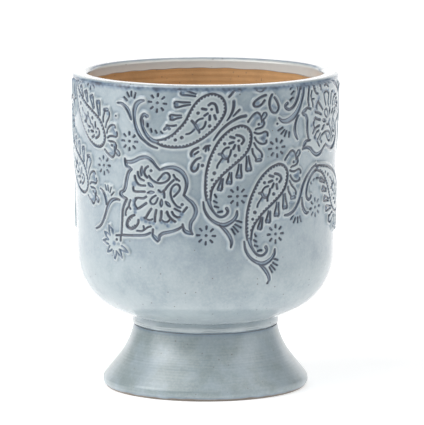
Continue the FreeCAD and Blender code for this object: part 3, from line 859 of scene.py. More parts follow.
loose_bands = [
    [(-84.4, 164.0, 0.35), (-82.9, 160.2, 0.48)], [(-81.3, 163.6, 0.35), (-80.9, 159.8, 0.48)],
    [(-77.7, 162.6, 0.35), (-79.1, 158.8, 0.48)], [(-75.0, 159.2, 0.35), (-77.8, 156.6, 0.48)],
    [(-5.3, 196.3, 0.7), (-8.5, 194.7, 0.8), (-10.4, 192.2, 0.8), (-10.2, 190.0, 0.7)],
    [(-5.2, 193.3, 0.55), (-7.8, 191.4, 0.65)],
    [(-3.6, 188.8, 0.6), (-6.6, 187.4, 0.8), (-9.0, 184.6, 0.8), (-10.4, 181.4, 0.75),
     (-9.6, 179.0, 0.75), (-7.6, 178.6, 0.7), (-5.8, 180.8, 0.7), (-5.0, 184.0, 0.6)],
    [(-1.4, 195.6, 0.5), (0.4, 197.4, 0.7), (3.2, 197.9, 0.6)], [(2.2, 197.4, 0.7), (2.4, 194.6, 0.6)],
    [(0.6, 196.4, 0.6), (0.2, 193.8, 0.5)],
    [(6.1, 202.0, 0.45), (8.4, 205.6, 0.6), (11.4, 209.4, 0.75), (15.6, 213.2, 0.85), (20.0, 216.2, 0.9),
     (25.0, 218.8, 0.95), (29.6, 219.7, 1.05)],
    [(20.7, 231.0, 0.95), (20.6, 227.0, 0.95), (19.6, 223.0, 0.8), (17.6, 219.0, 0.5), (15.8, 216.6, 0.35)],
    [(25.0, 224.3, 0.8), (22.8, 222.2, 0.7), (20.4, 219.8, 0.4)],
    [(17.3, 234.3, 0.75), (19.4, 236.6, 0.75), (21.0, 239.0, 0.8), (19.6, 241.8, 0.8)],
    [(36.2, 241.0, 0.75), (38.4, 238.8, 0.8)],
    [(45.2, 234.6, 0.8), (42.0, 233.6, 0.8), (39.0, 232.0, 0.75), (36.6, 230.0, 0.75), (35.7, 228.2, 0.8),
     (36.6, 226.6, 0.75), (38.4, 226.2, 0.65), (40.4, 226.8, 0.65), (42.6, 228.4, 0.75),
     (44.3, 230.6, 0.75)],
    [(50.2, 234.7, 0.75), (48.8, 231.6, 0.85), (48.3, 228.4, 0.85), (48.9, 225.0, 0.8),
     (50.4, 222.2, 0.75), (52.2, 220.9, 0.65), (54.0, 220.9, 0.6), (55.6, 222.6, 0.6),
     (56.2, 225.0, 0.65), (55.4, 228.0, 0.75), (53.8, 230.8, 0.8), (52.5, 232.5, 0.75)],
]
loose_washes = [
    (38.6, 228.8, 1.6, 0.42), (53.0, 224.0, 2.0, 0.3), (-8.2, 180.6, 1.8, 0.45), (-9.2, 190.6, 1.5, 0.4),
    (51.0, 226.2, 0.6, 0.4), (-57.4, 229.0, 1.6, 0.2), (76.2, 143.4, 1.5, 0.22), (-55.4, 211.0, 1.3, 0.32),
    (-54.0, 207.4, 1.1, 0.3), (79.8, 157.4, 1.0, 0.3), (69.5, 152.0, 1.2, 0.3),
]
loose_dots = [(-2.2, 183.0, 1.2), (55.2, 212.5, 0.7), (-71.4, 217.2, 0.55)]
blossoms = [
    (-36.0, 229.0), (-60.0, 198.8), (-86.8, 178.2), (-101.4, 241.4), (24.3, 159.2), (56.0, 194.1),
    (0.5, 130.0), (56.0, 129.0), (98.7, 145.1),
]
daisy_heart, daisy_seed = (-75.6, 120.4), (-73.0, 123.4)
daisy_tips = [
    (-81.0, 133.2), (-86.2, 127.8), (-87.8, 121.2), (-83.2, 113.2), (-75.2, 108.8), (-68.2, 110.2),
    (-62.6, 114.8),
]


# A bud, in shares of its half width: how far its sides stand apart from root to shoulder, and
# where its two lobes lie, with the turns round a lobe and the line's half width at each
bud_root, bud_waist, bud_shoulder = 0.34, 0.50, 0.84
bud_lobe, bud_lobe_radius, bud_lobe_glaze = 0.36, 0.50, 0.60
bud_lobe_arc = ((-30, 0.34), (10, 0.44), (50, 0.48), (90, 0.46))


def draw_bud(drawing, place, base, tip, half):
    """Two carved sides that open into two small round lobes of thicker glaze."""
    base, tip = np.array(base, float), np.array(tip, float)
    length = np.hypot(*(tip - base))
    along = (tip - base) / length
    across = np.array([-along[1], along[0]])
    end = tip - along * half * 0.6
    for side in (1, -1):
        root = base + side * across * half * bud_root
        waist = base + along * length * 0.42 + side * across * half * bud_waist
        shoulder = end - along * half * 0.25 + side * across * half * bud_shoulder
        drawing.line(place([(*root, 0.42), (*waist, 0.60), (*shoulder, 0.50)]))
        lobe = end + side * across * half * bud_lobe
        arc = []
        for turn, width in bud_lobe_arc:
            swing = math.radians(turn)
            reach = math.cos(swing) * along + math.sin(swing) * side * across
            arc.append((*(lobe + half * bud_lobe_radius * reach), width))
        drawing.line(place(arc), tone=0.9)
        drawing.wash(place([lobe])[0], half * bud_lobe_glaze, 0.66)
    foot, wide = across * half * 0.6, across * half
    drawing.area(place([base + foot, end + wide, tip, end - wide, base - foot]))


def draw_strokes(drawing, place, lines=(), bands=(), washes=(), dots=(), buds=(), dashes=()):
    """Everything of one motif: narrow lines, wide bands, hollows, dots, buds and dashes."""
    for half, path in lines:
        drawing.line(place(path), half * 0.84, fill=0.7)
    for path in bands:
        drawing.line(place(path), fill=0.40, tone=0.92)
    for x, y, half, tone in washes:
        drawing.wash(place([(x, y)])[0], half, tone)
    for x, y, half in dots:
        drawing.line(place([(x, y)]), half * 0.92)
    for base, tip, half in buds:
        draw_bud(drawing, place, base, tip, half)
    for ends in dashes:
        drawing.line(place(ends), 0.52, raised=False)


def draw_outline(drawing, place, outline, inward):
    """A paisley's body: a line with a scalloped inner edge, clear of the two ends at its tip."""
    drawing.area(place(outline))
    drawing.line(place(outline), 0.58)
    beads = beside_line(smooth_line(outline), 0.56 * inward)[10:-14:8]
    for bead in beads:
        drawing.line(place([bead]), 0.88, depth=0.9)


def draw_paisley(drawing, place, horned=True):
    """A paisley, with or without the curl at its root."""
    draw_outline(drawing, place, paisley_outline, -1)
    inner = (paisley_lines, paisley_bands, paisley_washes, paisley_dots, paisley_buds)
    draw_strokes(drawing, place, *inner)
    if horned:
        draw_strokes(drawing, place, bands=[paisley_horn], dashes=paisley_horn_dashes)


def draw_high_paisley(drawing, place):
    """The paisley under the rim in front, which curls further round than the others."""
    draw_outline(drawing, place, high_outline, 1)
    bands = [*high_bands, high_horn]
    draw_strokes(drawing, place, high_lines, bands, high_washes, high_dots, high_buds, high_horn_dashes)


def draw_medallion(drawing, place):
    """A lobed medallion, with a row of teeth inside the loop in its corner."""
    drawing.area(place(medallion_clay))
    draw_strokes(drawing, place, medallion_lines, medallion_bands, medallion_washes, medallion_dots)
    for tooth in beside_line(smooth_line(medallion_loop), 0.9)[2::6]:
        drawing.line(place([tooth]), 0.55)


def draw_daisy(drawing, place):
    """Pointed petals, each between two carved sides."""
    heart = np.array(daisy_heart)
    for tip in daisy_tips:
        tip = np.array(tip)
        reach = np.hypot(*(tip - heart))
        along = (tip - heart) / reach
        across = np.array([-along[1], along[0]])
        for side in (1, -1):
            root = heart + along * reach * 0.52 + side * across * 1.7
            middle = heart + along * reach * 0.75 + side * across * 1.35
            side_line = place([(*root, 0.40), (*middle, 0.52), (*tip, 0.62)])
            drawing.line(side_line, raised=side > 0, tone=0.66)
        drawing.area(place([heart + across * 2, root + across, tip, root - across, heart - across * 2]))
    drawing.wash(place([heart])[0], 1.5, 0.5)
    drawing.line(place([daisy_seed]), 0.85)


def draw_blossom(drawing, middle, start, petals=8, inside=4.9, outside=6.8):
    """A round blossom: a dot in a ring of short dashes."""
    for petal in range(petals):
        turn = math.radians(360 // petals * petal + start)
        toward = np.array([math.cos(turn), math.sin(turn)])
        inner, outer = middle + inside * toward, middle + outside * toward
        drawing.line([(*inner, 0.54), (*outer, 0.68)], raised=False)
    drawing.line([middle], 0.88, raised=False)


def draw_border(drawing):
    """Everything on one half of the wall, as the other half repeats it."""
    here = Place()
    upright, low = Place((2.6, 157.6)), Place((33.6, 127.1))
    high_side, side = Place((-124, 241), -168, True), Place((-148, 203.5), -168, True)
    for place in (upright, low, high_side, side):
        draw_paisley(drawing, place)
    for place in (upright, low, side):
        draw_strokes(drawing, place, bands=crescent_bands, dashes=crescent_rays)
    for place in (Place((97, 175), -98), Place((75, 238), -8, True)):
        draw_paisley(drawing, place, horned=False)
    draw_high_paisley(drawing, here)
    for place in (here, Place((87.5, 250), -101, drawn_at=(-68.5, 127.6))):
        draw_medallion(drawing, place)
    draw_daisy(drawing, here)
    draw_strokes(drawing, here, bands=spray_bands, washes=loose_washes, dots=loose_dots, dashes=rays)
    for path in loose_bands:
        drawing.line(path, tone=0.95)
    for index, middle in enumerate(blossoms):
        draw_blossom(drawing, np.array(middle), (index * 37) % 11 - 5)


# Finishes


class Finish:
    """Short ways to add the nodes of one material."""

    def __init__(self, name):
        self.material = bpy.data.materials.new(name)
        self.material.use_nodes = True
        self.tree = self.material.node_tree
        self.tree.nodes.clear()
        self.shader = self.add("ShaderNodeBsdfPrincipled")
        self.link(self.shader.outputs["BSDF"], self.add("ShaderNodeOutputMaterial").inputs["Surface"])
        self.place = self.add("ShaderNodeTexCoord").outputs["Object"]

    def add(self, kind, **settings):
        node = self.tree.nodes.new(kind)
        for key, value in settings.items():
            setattr(node, key, value)
        return node

    def link(self, start, end):
        self.tree.links.new(start, end)

    def feed(self, socket, value):
        if hasattr(value, "is_linked"):
            self.link(value, socket)
        else:
            socket.default_value = value

    def noise(self, scale, detail=2.0, roughness=0.5, place=None):
        node = self.add("ShaderNodeTexNoise")
        self.link(place or self.place, node.inputs["Vector"])
        node.inputs["Scale"].default_value = scale
        node.inputs["Detail"].default_value = detail
        node.inputs["Roughness"].default_value = roughness
        return node.outputs["Fac"]

    def attribute(self, name):
        return self.add("ShaderNodeAttribute", attribute_name=name).outputs["Fac"]

    def math(self, operation, first, second=0.0, third=0.0):
        node = self.add("ShaderNodeMath", operation=operation)
        for socket, value in zip(node.inputs, (first, second, third)):
            self.feed(socket, value)
        return node.outputs[0]

    def span(self, value, low, high, start=0.0, end=1.0, smooth=True):
        node = self.add("ShaderNodeMapRange")
        node.interpolation_type = "SMOOTHSTEP" if smooth else "LINEAR"
        given = {"Value": value, "From Min": low, "From Max": high, "To Min": start, "To Max": end}
        for key, setting in given.items():
            self.feed(node.inputs[key], setting)
        return node.outputs["Result"]

    def mix(self, share, first, second):
        """A mix of two colours, whose sockets come after those for numbers and vectors."""
        node = self.add("ShaderNodeMix", data_type="RGBA")
        self.feed(node.inputs["Factor"], share)
        self.feed(node.inputs[6], first)
        self.feed(node.inputs[7], second)
        return node.outputs[2]

    def bump(self, height, strength, distance, normal=None):
        node = self.add("ShaderNodeBump")
        node.inputs["Strength"].default_value = strength
        node.inputs["Distance"].default_value = distance
        self.link(height, node.inputs["Height"])
        if normal:
            self.link(normal, node.inputs["Normal"])
        return node.outputs["Normal"]

    def stretched(self, scale):
        node = self.add("ShaderNodeMapping")
        self.link(self.place, node.inputs["Vector"])
        node.inputs["Scale"].default_value = scale
        return node.outputs["Vector"]

    def dressed(self, tint, rough, normal):
        """The material, with its colour, roughness and grain in the shader."""
        for key, value in (("Base Color", tint), ("Roughness", rough), ("Normal", normal)):
            self.link(value, self.shader.inputs[key])
        return self.material


def solid(colour, brightness=1.0):
    """A colour with its alpha, made brighter or darker."""
    return (*(min(1.0, channel * brightness) for channel in colour), 1.0)


def specks(finish, scale, size, share):
    """Small dark iron spots, here and there."""
    node = finish.add("ShaderNodeTexVoronoi", feature="F1")
    finish.link(finish.place, node.inputs["Vector"])
    node.inputs["Scale"].default_value = scale
    near = finish.span(node.outputs["Distance"], size * 0.6, size, 1.0, 0.0)
    chance = finish.add("ShaderNodeSeparateColor")
    finish.link(node.outputs["Color"], chance.inputs["Color"])
    return finish.math("MULTIPLY", near, finish.math("GREATER_THAN", chance.outputs["Red"], 1 - share))


def glaze_finish(name, colours, base, rings=False):
    """A soft, pale blue-grey glaze: cloudy, darker where it pools, pale on edges, and paler where painted
    light is laid on.
    """
    finish = Finish(name)
    cloud = finish.noise(15.0, detail=4.0, roughness=0.6)
    patch = finish.noise(62.0, detail=4.0, roughness=0.65)
    grain = finish.noise(520.0, detail=2.0, roughness=0.6)
    clouds = finish.math("MULTIPLY_ADD", patch, 0.5, finish.math("MULTIPLY", cloud, 0.5))
    tint = finish.mix(finish.span(clouds, 0.40, 0.61), solid(base), solid(colours.cool_glaze))
    tint = finish.mix(finish.span(grain, 0.35, 0.75, 0.0, 0.10), tint, solid(colours.pale_glaze_and_painted_light))
    # The paleness attribute holds both thin glaze on edges and painted light inside the rim and under the
    # belly
    crest = finish.math("MULTIPLY", finish.attribute("crest"), finish.span(patch, 0.3, 0.7, 0.7, 1.0))
    crest = finish.math("MINIMUM", finish.math("MULTIPLY", crest, 0.75), 1.0)
    tint = finish.mix(crest, tint, solid(colours.pale_glaze_and_painted_light))
    uneven = finish.span(finish.noise(160.0, detail=2.0), 0.3, 0.7, 0.86, 1.1)
    pooled = finish.math("MULTIPLY", finish.math("POWER", finish.attribute("pool"), 0.85), uneven)
    tint = finish.mix(finish.span(pooled, 0.0, 0.62, smooth=False), tint, solid(colours.thick))
    tint = finish.mix(finish.span(pooled, 0.45, 1.0), tint, solid(colours.pooled))
    large = specks(finish, 150.0, size=0.105, share=0.55)
    small = specks(finish, 420.0, size=0.16, share=0.05)
    spots = finish.math("MAXIMUM", large, small)
    tint = finish.mix(finish.math("MULTIPLY", spots, 0.7), tint, solid(colours.bare_foot))
    rough = finish.span(finish.noise(90.0, detail=3.0), 0.3, 0.7, 0.12, 0.20)
    peel = finish.bump(finish.noise(330.0, detail=2.0), strength=0.10, distance=0.0004)
    if rings:
        lines = finish.noise(1.0, detail=3.0, roughness=0.6, place=finish.stretched((30.0, 30.0, 900.0)))
        peel = finish.bump(lines, strength=0.05, distance=0.0003, normal=peel)
        tint = finish.mix(finish.span(lines, 0.35, 0.7, 0.0, 0.08), tint, solid(colours.pale_glaze_and_painted_light))
        bare, hollow = finish.attribute("bare"), finish.attribute("hollow")
        earth = finish.noise(220.0, detail=4.0, roughness=0.65)
        edge = finish.mix(earth, solid(colours.bare_foot), solid(colours.bare_foot, 1.7))
        clay = finish.mix(hollow, edge, solid(colours.terracotta, 0.8))
        tint = finish.mix(bare, tint, clay)
        rough = finish.span(bare, 0.0, 1.0, finish.math("ADD", rough, 0.16), 0.85)
    finish.shader.inputs["IOR"].default_value = 1.5
    finish.shader.inputs["Coat Weight"].default_value = 0.7 if rings else 0.65
    finish.shader.inputs["Coat Roughness"].default_value = 0.28 if rings else 0.045
    return finish.dressed(tint, rough, peel)


def clay_finish(name, colours):
    """Bare, warm terracotta with throwing rings, sand and a little dust."""
    finish = Finish(name)
    cloud = finish.noise(30.0, detail=3.0, roughness=0.6)
    cloudy = finish.span(cloud, 0.35, 0.65)
    tint = finish.mix(cloudy, solid(colours.terracotta), solid(colours.terracotta, 1.22))
    rings = finish.noise(1.0, detail=3.0, roughness=0.6, place=finish.stretched((12.0, 12.0, 420.0)))
    tint = finish.mix(finish.span(rings, 0.35, 0.7, 0.0, 0.22), tint, solid(colours.terracotta, 0.78))
    sand = finish.noise(900.0, detail=3.0, roughness=0.7)
    tint = finish.mix(finish.span(sand, 0.55, 0.72, 0.0, 0.35), tint, solid(colours.terracotta, 1.6))
    dark_sand = specks(finish, 500.0, size=0.22, share=0.12)
    tint = finish.mix(dark_sand, tint, solid(colours.bare_foot))
    # Darker where the attribute says: round the drain and in the corner of the floor
    darker_floor = finish.attribute("pool")
    tint = finish.mix(darker_floor, tint, solid(colours.terracotta, 0.5))
    rough = finish.span(sand, 0.3, 0.7, 0.78, 0.92)
    relief = finish.bump(rings, strength=0.35, distance=0.0005)
    relief = finish.bump(sand, strength=0.35, distance=0.0003, normal=relief)
    return finish.dressed(tint, rough, relief)


def finished(piece, material, nodes):
    """Gives a piece its glaze or clay, hangs it under the root body, and hides the solids that it stands in
    for.
    """
    piece.data.materials.clear()
    piece.data.materials.append(material)
    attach(piece, "root")
    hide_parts(*nodes)


def mesh_sizes(context):
    """The scene's sizes, in millimetres."""
    sizes = context.scene.planter_sizes
    return {key: getattr(sizes, key) / millimetre for key in PlanterSizes.__annotations__}


def wall_profile(sizes):
    """The outside from its underside up to the lip, as tables of radius and normal by height."""
    side = bowl_side(sizes["base_height"])
    lip = lip_start(sizes)
    rise = lip - side.places[-1][1]
    return side.ahead(rise / math.sin(math.radians(wall_lean))).table(), lip


def lip_band(around, height, lip):
    """How thick the glaze lies in the ragged band round the lip's outer edge."""
    drip = 0.5 + 0.35 * waves(around, height * 0, "drips") + 0.25 * waves(around, height, "drip edges")
    reach = 1.5 + 1.1 * np.clip(drip, 0, 1.4)
    below = np.minimum(height - lip + 0.1, 0)
    band = np.exp(-((below / reach) ** 2)) * (1 - ease(height, lip + 0.9, lip + 2.3))
    return np.clip(band * (0.25 + 0.6 * drip), 0, 0.8)


class PLANTER_OT_border(bpy.types.Operator):
    """Makes the wall with its pressed and carved border, in upright panels"""

    bl_idname = "planter.border"
    bl_label = "Wall and border"

    def execute(self, context):
        sizes = mesh_sizes(context)
        (radius, height, out, up), lip = wall_profile(sizes)
        columns = columns_around // 2
        drawing = WallDrawing(columns, border_low, lip - 0.1, border_rows, sizes["ornament_margin"])
        draw_border(drawing)
        raised = softened(drawing.folded(drawing.raised), 2)
        raised = ease(raised, 0.02, 0.98) * ease(drawing.heights[:, None], border_low + 2, border_low + 5)
        cut = drawing.folded(drawing.cut)
        pool = drawing.folded(drawing.pool)
        halo = drawing.folded(drawing.halo)
        heights = drawing.heights[:, None]
        around = around_pot(columns_around)
        clipped = 1 - ease(heights, lip - 1.5, lip - 0.3)
        relief = sizes["relief"] * raised * clipped
        burr = 0.08 * halo * (1 - raised)  # clay pushed up beside a carved line
        relief = relief + burr - sizes["carving"] * cut * (0.35 + 0.65 * clipped)
        # The glaze is thin on the ornaments' edges and thick in the lines; at the edges' foot it lies
        # thick, with painted shade there as well
        spread = softened(raised, 4)
        edge_foot_pool_and_shade, edge = np.clip(spread - raised, 0, 1), np.clip(raised - spread, 0, 1)
        crest = np.clip(0.42 * halo * raised + 0.22 * edge + 0.09 * raised, 0, 1)
        crest = crest * (1 - pool) * (0.35 + 0.65 * clipped)
        low_ground = 0.45 * edge_foot_pool_and_shade + 0.06 * (1 - raised)
        low_ground = low_ground * ease(heights, border_low + 6, border_low + 22)
        tone = np.clip(pool + low_ground * (1 - pool), 0, 1) * (0.25 + 0.75 * clipped)
        # What is drawn is half of the wall, and the other half repeats it
        relief, crest, tone = (
            np.roll(np.concatenate([half, half], axis=1), -columns // 2, axis=1)
            for half in (relief, crest, tone)
        )
        fade = ease(heights, border_low, border_low + 4) * (1 - ease(heights, lip - 1.2, lip - 0.2))
        relief = relief + clay_swell * waves(around, heights, "wall") * fade
        tone = np.maximum(tone, lip_band(around, heights, lip))
        base_radius = np.interp(drawing.heights, height, radius)[:, None]
        side_out = np.interp(drawing.heights, height, out)[:, None]
        side_up = np.interp(drawing.heights, height, up)[:, None]
        final_radius = base_radius + relief * side_out
        final_height = heights + relief * side_up
        colours = context.scene.planter_colours
        material = glaze_finish(wall_finish, colours, colours.glaze)
        share = columns_around // wall_panels
        for panel in range(wall_panels):
            picked = np.arange(panel * share, (panel + 1) * share + 1) % columns_around
            values = {"crest": crest[:, picked], "pool": tone[:, picked]}
            surface = (final_radius[:, picked], final_height[:, picked], around[picked])
            piece = shell(f"border_panel_{panel + 1}", *surface, values, closed=False)
            finished(piece, material, ["bowl", *relief_nodes])
        return {"FINISHED"}


class PLANTER_OT_belly(bpy.types.Operator):
    """Makes the plain lower part of the bowl's outside"""

    bl_idname = "planter.belly"
    bl_label = "Lower bowl"

    def execute(self, context):
        sizes = mesh_sizes(context)
        (radius, height, out, up), _ = wall_profile(sizes)
        keep = height < border_low + 1.2
        around = around_pot(plain_columns)
        base = sizes["base_height"]
        height_rows, out, up = height[keep][:, None], out[keep][:, None], up[keep][:, None]
        fade = ease(height_rows, base, base + 4)
        fade = fade * (1 - ease(height_rows, border_low - 4, border_low))
        swell = clay_swell * waves(around, height_rows, "belly") * fade
        sink = 0.03 * ease(height_rows, border_low, border_low + 0.4)
        final_radius = radius[keep][:, None] + (swell - sink) * out
        final_height = height_rows + (swell - sink) * up
        seam = np.exp(-(((height_rows - base) / 1.1) ** 2))
        seam = seam * (0.12 + 0.05 * waves(around, height_rows, "belly seam"))
        # Painted light: the underside is made paler towards the bottom, as though lit by the white sheet
        # below
        pale_glaze_and_painted_light = 0.26 * (1 - ease(height_rows, base + 4, base + 30))
        values = {"crest": pale_glaze_and_painted_light + 0 * seam, "pool": seam}
        piece = shell("lower_bowl", final_radius, final_height, around, values, closed=True)
        finished(piece, bpy.data.materials[wall_finish], ["bowl"])
        return {"FINISHED"}


class PLANTER_OT_rim(bpy.types.Operator):
    """Makes the rounded lip and the glaze that runs a little way down inside"""

    bl_idname = "planter.rim"
    bl_label = "Rim"

    def execute(self, context):
        sizes = mesh_sizes(context)
        (radius, height, _, _), lip = wall_profile(sizes)
        lip_round, wall = sizes["lip_round"], sizes["wall"]
        # The rows run up over the end of the wall, round the lip, and down as far as the glaze
        overlap, fine = 0.6, 0.3
        start = np.interp(lip - overlap, height, radius)
        path = Turning(start, lip - overlap, wall_lean).towards(radius[-1], lip, fine)
        path.arc(lip_round, 180 - wall_lean, fine)
        path.ahead(wall - 2 * lip_round, 0.4).arc(lip_round, wall_lean, fine)
        inside_start = len(path.places) - 1
        path.ahead(sizes["glaze_drop"], 0.35)
        rim_radius, rim_height, rim_out, rim_up = (row[:, None] for row in path.table())
        around = around_pot(columns_around)
        rows = np.arange(len(path.places))[:, None]
        share = np.clip((rows - inside_start) / (len(path.places) - 1 - inside_start), 0, 1)
        wander = waves(around, share * 0, "glaze end") * 0.45 + waves(around, share * 0, "glaze sag") * 0.5
        left, right = np.clip(-np.sin(around), 0, 1), np.clip(np.sin(around), 0, 1)
        wander = wander + left**2 + 2.1 * right**2
        final_height = rim_height - share * wander
        # The glaze's skin inside ends in a bead, and the clay under the lip is a little uneven
        skin = sizes["glaze_thickness"] * ease(rows, inside_start - 6, inside_start)
        skin = skin * (1 - ease(share, 0.90, 1.0) * 1.4)
        bead = 0.06 * np.exp(-(((share - 0.9) / 0.07) ** 2))
        unevenness = 0.06 * waves(around, rows * 0.35, "lip") * ease(rows, 2, 8)
        unevenness = unevenness - 0.10 * ease(rows, 2, 8)
        offset = skin + bead + unevenness * (1 - share)
        final_radius = rim_radius + offset * rim_out
        final_height = final_height + offset * rim_up
        # The dark ragged band outside, the two lines inside, the worn top of the lip, and painted light on
        # the glaze inside
        top = ease(rows, 8, 15) * (1 - ease(rows, inside_start - 6, inside_start + 1))
        under = lip_band(around, rim_height, lip) * (rows < inside_start - 12)
        behind = ease(-np.cos(around), 0.1, 0.7)
        inner_line = np.exp(-(((rows - inside_start + 1 + 15 * behind) / (2.4 + 4.5 * behind)) ** 2))
        inner_line = inner_line * (0.45 + 0.15 * behind + 0.2 * waves(around, rows * 0, "inner line"))
        end_line = np.exp(-(((share - 0.93) / 0.05) ** 2))
        end_line = end_line * (0.12 + 0.08 * waves(around, rows * 0, "end line"))
        within = rows > inside_start
        cool = 0.06 * np.exp(-((share / 0.45) ** 2)) * (1.0 - 0.6 * np.sin(around)) * within
        pool = np.clip(under + inner_line + end_line + cool + 0.01 * within, 0, 1)
        worn = 0.95 + 0.1 * waves(around, rows * 0, "worn lip")
        # Painted light: the second term makes the glaze inside the rim paler, as though lit, where it lies
        # in the bowl's shade
        crest = 0.66 * top * worn + 1.7 * ease(rows, inside_start - 8, inside_start)
        values = {"crest": crest, "pool": pool}
        piece = shell("rim_lip", final_radius, final_height, around, values, closed=True)
        finished(piece, bpy.data.materials[wall_finish], ["bowl"])
        return {"FINISHED"}


class PLANTER_OT_inside(bpy.types.Operator):
    """Makes the bare clay of the inside, the drain hole and the underside"""

    bl_idname = "planter.inside"
    bl_label = "Bare inside"

    def execute(self, context):
        sizes = mesh_sizes(context)
        base, wall = sizes["base_height"], sizes["wall"]
        lip = lip_start(sizes)
        corner_radius, corner_height, _ = bowl_side(base).places[-1]
        turn = math.radians(wall_lean)
        top_radius = corner_radius + (lip - corner_height) / math.tan(turn) - wall / math.sin(turn)
        path = Turning(top_radius, lip, 180 + wall_lean).ahead((lip - corner_height) / math.sin(turn), 1.2)
        path.arc(shoulder_bend - wall, -shoulder_sweep, 1.0).arc(belly_bend - wall, -belly_sweep, 1.0)
        floor = path.places[-1][1]
        path.towards(drain_radius + drain_round, floor, 1.2).arc(drain_round, 90, 0.25)
        path.towards(drain_radius, base + drain_bevel, 0.8)
        underside = base + 0.03
        path.towards(drain_radius + drain_bevel, underside, 0.3)
        path.towards(bowl_base_radius - 0.4, underside, 1.5)
        radius, height, out, up = (row[:, None] for row in path.table())
        around = around_pot(plain_columns)
        inside = (height > floor + 2) & (radius > 20)
        ring = 0.16 * np.sin(height * 2 * math.pi / 4.6 + 0.9 * np.sin(height * 0.13) + around) * inside
        swell = (ring + 0.14 * waves(around, height, "inside") * inside) * ease(lip - height, 0, 6)
        # The floor is made darker round the drain and in the corner where it meets the wall
        corner = np.exp(-(((height - floor) / 6) ** 2)) * (radius > 20)
        floor_darkening = np.exp(-((radius / 16) ** 2)) * 0.35 + 0.25 * corner
        values = {"pool": np.clip(floor_darkening + 0.08 * waves(around, height, "floor_darkening"), 0, 0.6)}
        piece = shell("bare_inside", radius + swell * out, height + swell * up, around, values, closed=True)
        material = clay_finish("sandy_terracotta", context.scene.planter_colours)
        finished(piece, material, ["bowl"])
        return {"FINISHED"}


class PLANTER_OT_collar(bpy.types.Operator):
    """Makes the squeezed coil of clay between bowl and foot"""

    bl_idname = "planter.collar"
    bl_label = "Neck collar"

    def execute(self, context):
        sizes = mesh_sizes(context)
        base = sizes["base_height"]
        start = foot_high.z / millimetre
        bottom, top = start + hairline, base - 0.05
        path = Turning(collar_bore, bottom, 0.0, 0.4).towards(collar_foot, bottom)
        for radius, rise, step in collar_side:
            path.towards(radius, start + rise, step)
        path.towards(collar_shoulder, base + 0.97, 0.3).towards(collar_neck, top, 0.3)
        path.towards(collar_bore, top).towards(collar_bore, bottom)
        radius, height, out, up = (row[:, None] for row in path.table())
        around = around_pot(plain_columns)
        outside = ease(radius, 53, 54.5)
        swell = clay_swell * waves(around, height, "collar") * outside
        seam = np.exp(-((height - start) ** 2)) * 0.26 + np.exp(-((height - base) ** 2)) * 0.06
        band = np.exp(-(((height - start - 2.6) / 1.4) ** 2))
        values = {
            "pool": np.clip(seam * (0.9 + 0.2 * waves(around, height, "collar seam")), 0, 1) * outside,
            "crest": (0.10 + 0.28 * band) * outside,
        }
        piece = shell("collar_coil", radius + swell * out, height + swell * up, around, values, closed=True)
        finished(piece, bpy.data.materials[wall_finish], ["neck_collar"])
        return {"FINISHED"}


class PLANTER_OT_foot(bpy.types.Operator):
    """Makes the thrown foot, with its turning rings and its wiped edge"""

    bl_idname = "planter.foot"
    bl_label = "Foot"

    def execute(self, context):
        sizes = mesh_sizes(context)
        top = foot_high.z / millimetre
        step = 0.3
        path = Turning(foot_neck_radius, top, foot_neck_heading, step)
        path.arc(foot_neck_bend, foot_neck_sweep).ahead(foot_flare_length)
        path.arc(foot_edge_bend, foot_edge_sweep).arc(foot_sole_bend, foot_sole_sweep)
        outer = len(path.places)
        path.towards(foot_ring_outside, hairline).towards(foot_ring_inside, hairline)
        for radius, rise in foot_ring_edge:
            path.towards(radius, rise)
        path.towards(foot_hollow_radius, foot_hollow_top, 0.8).towards(foot_hollow_radius, top, 0.8)
        radius, height, out, up = (row[:, None] for row in path.table())
        rows = np.arange(len(path.places))[:, None]
        around = around_pot(foot_columns)
        # Turning rings of uneven depth, which fade out towards the neck and the wiped edge
        shown = (1 - ease(rows, outer - 14, outer - 6)) * ease(rows, 0, 6)
        reach = rows * step
        ring = np.sin(reach * 2 * math.pi / 2.3 + 1.3 * np.sin(reach * 0.31) + 0.25 * np.sin(around + 1))
        ring = ring * (0.55 + 0.45 * np.sin(reach * 0.23 + 2.1))
        ring = ring * (1 + 0.3 * waves(around, height, "turning"))
        swell = (sizes["turning_depth"] * ring + clay_swell * waves(around, height, "foot")) * shown
        glaze_end = 1.9 + 0.45 * waves(around, height * 0, "foot glaze end")
        outside = rows < outer
        bare = ease(glaze_end - height, -0.25, 0.25) * (rows < outer + 40) + (rows >= outer)
        hollow = (rows >= outer).astype(float)
        bead = np.exp(-(((height - glaze_end - 0.6) / 0.55) ** 2)) * outside
        # The band at the top of the foot is pooled glaze with painted shade, under the collar's overhang
        pool = np.clip(0.35 * bead + np.exp(-(((top - height) / 1.6) ** 2)) * 0.35 * outside, 0, 1)
        values = {
            "pool": pool + 0.03 * np.clip(-ring, 0, 1) * shown,
            "crest": 0.05 * np.clip(ring, 0, 1) * shown,
            "bare": np.clip(bare + hollow, 0, 1),
            "hollow": hollow,
        }
        piece = shell("thrown_foot", radius + swell * out, height + swell * up, around, values, closed=True)
        colours = context.scene.planter_colours
        material = glaze_finish("ringed_foot_glaze", colours, colours.foot_glaze, rings=True)
        finished(piece, material, ["pedestal_foot"])
        return {"FINISHED"}


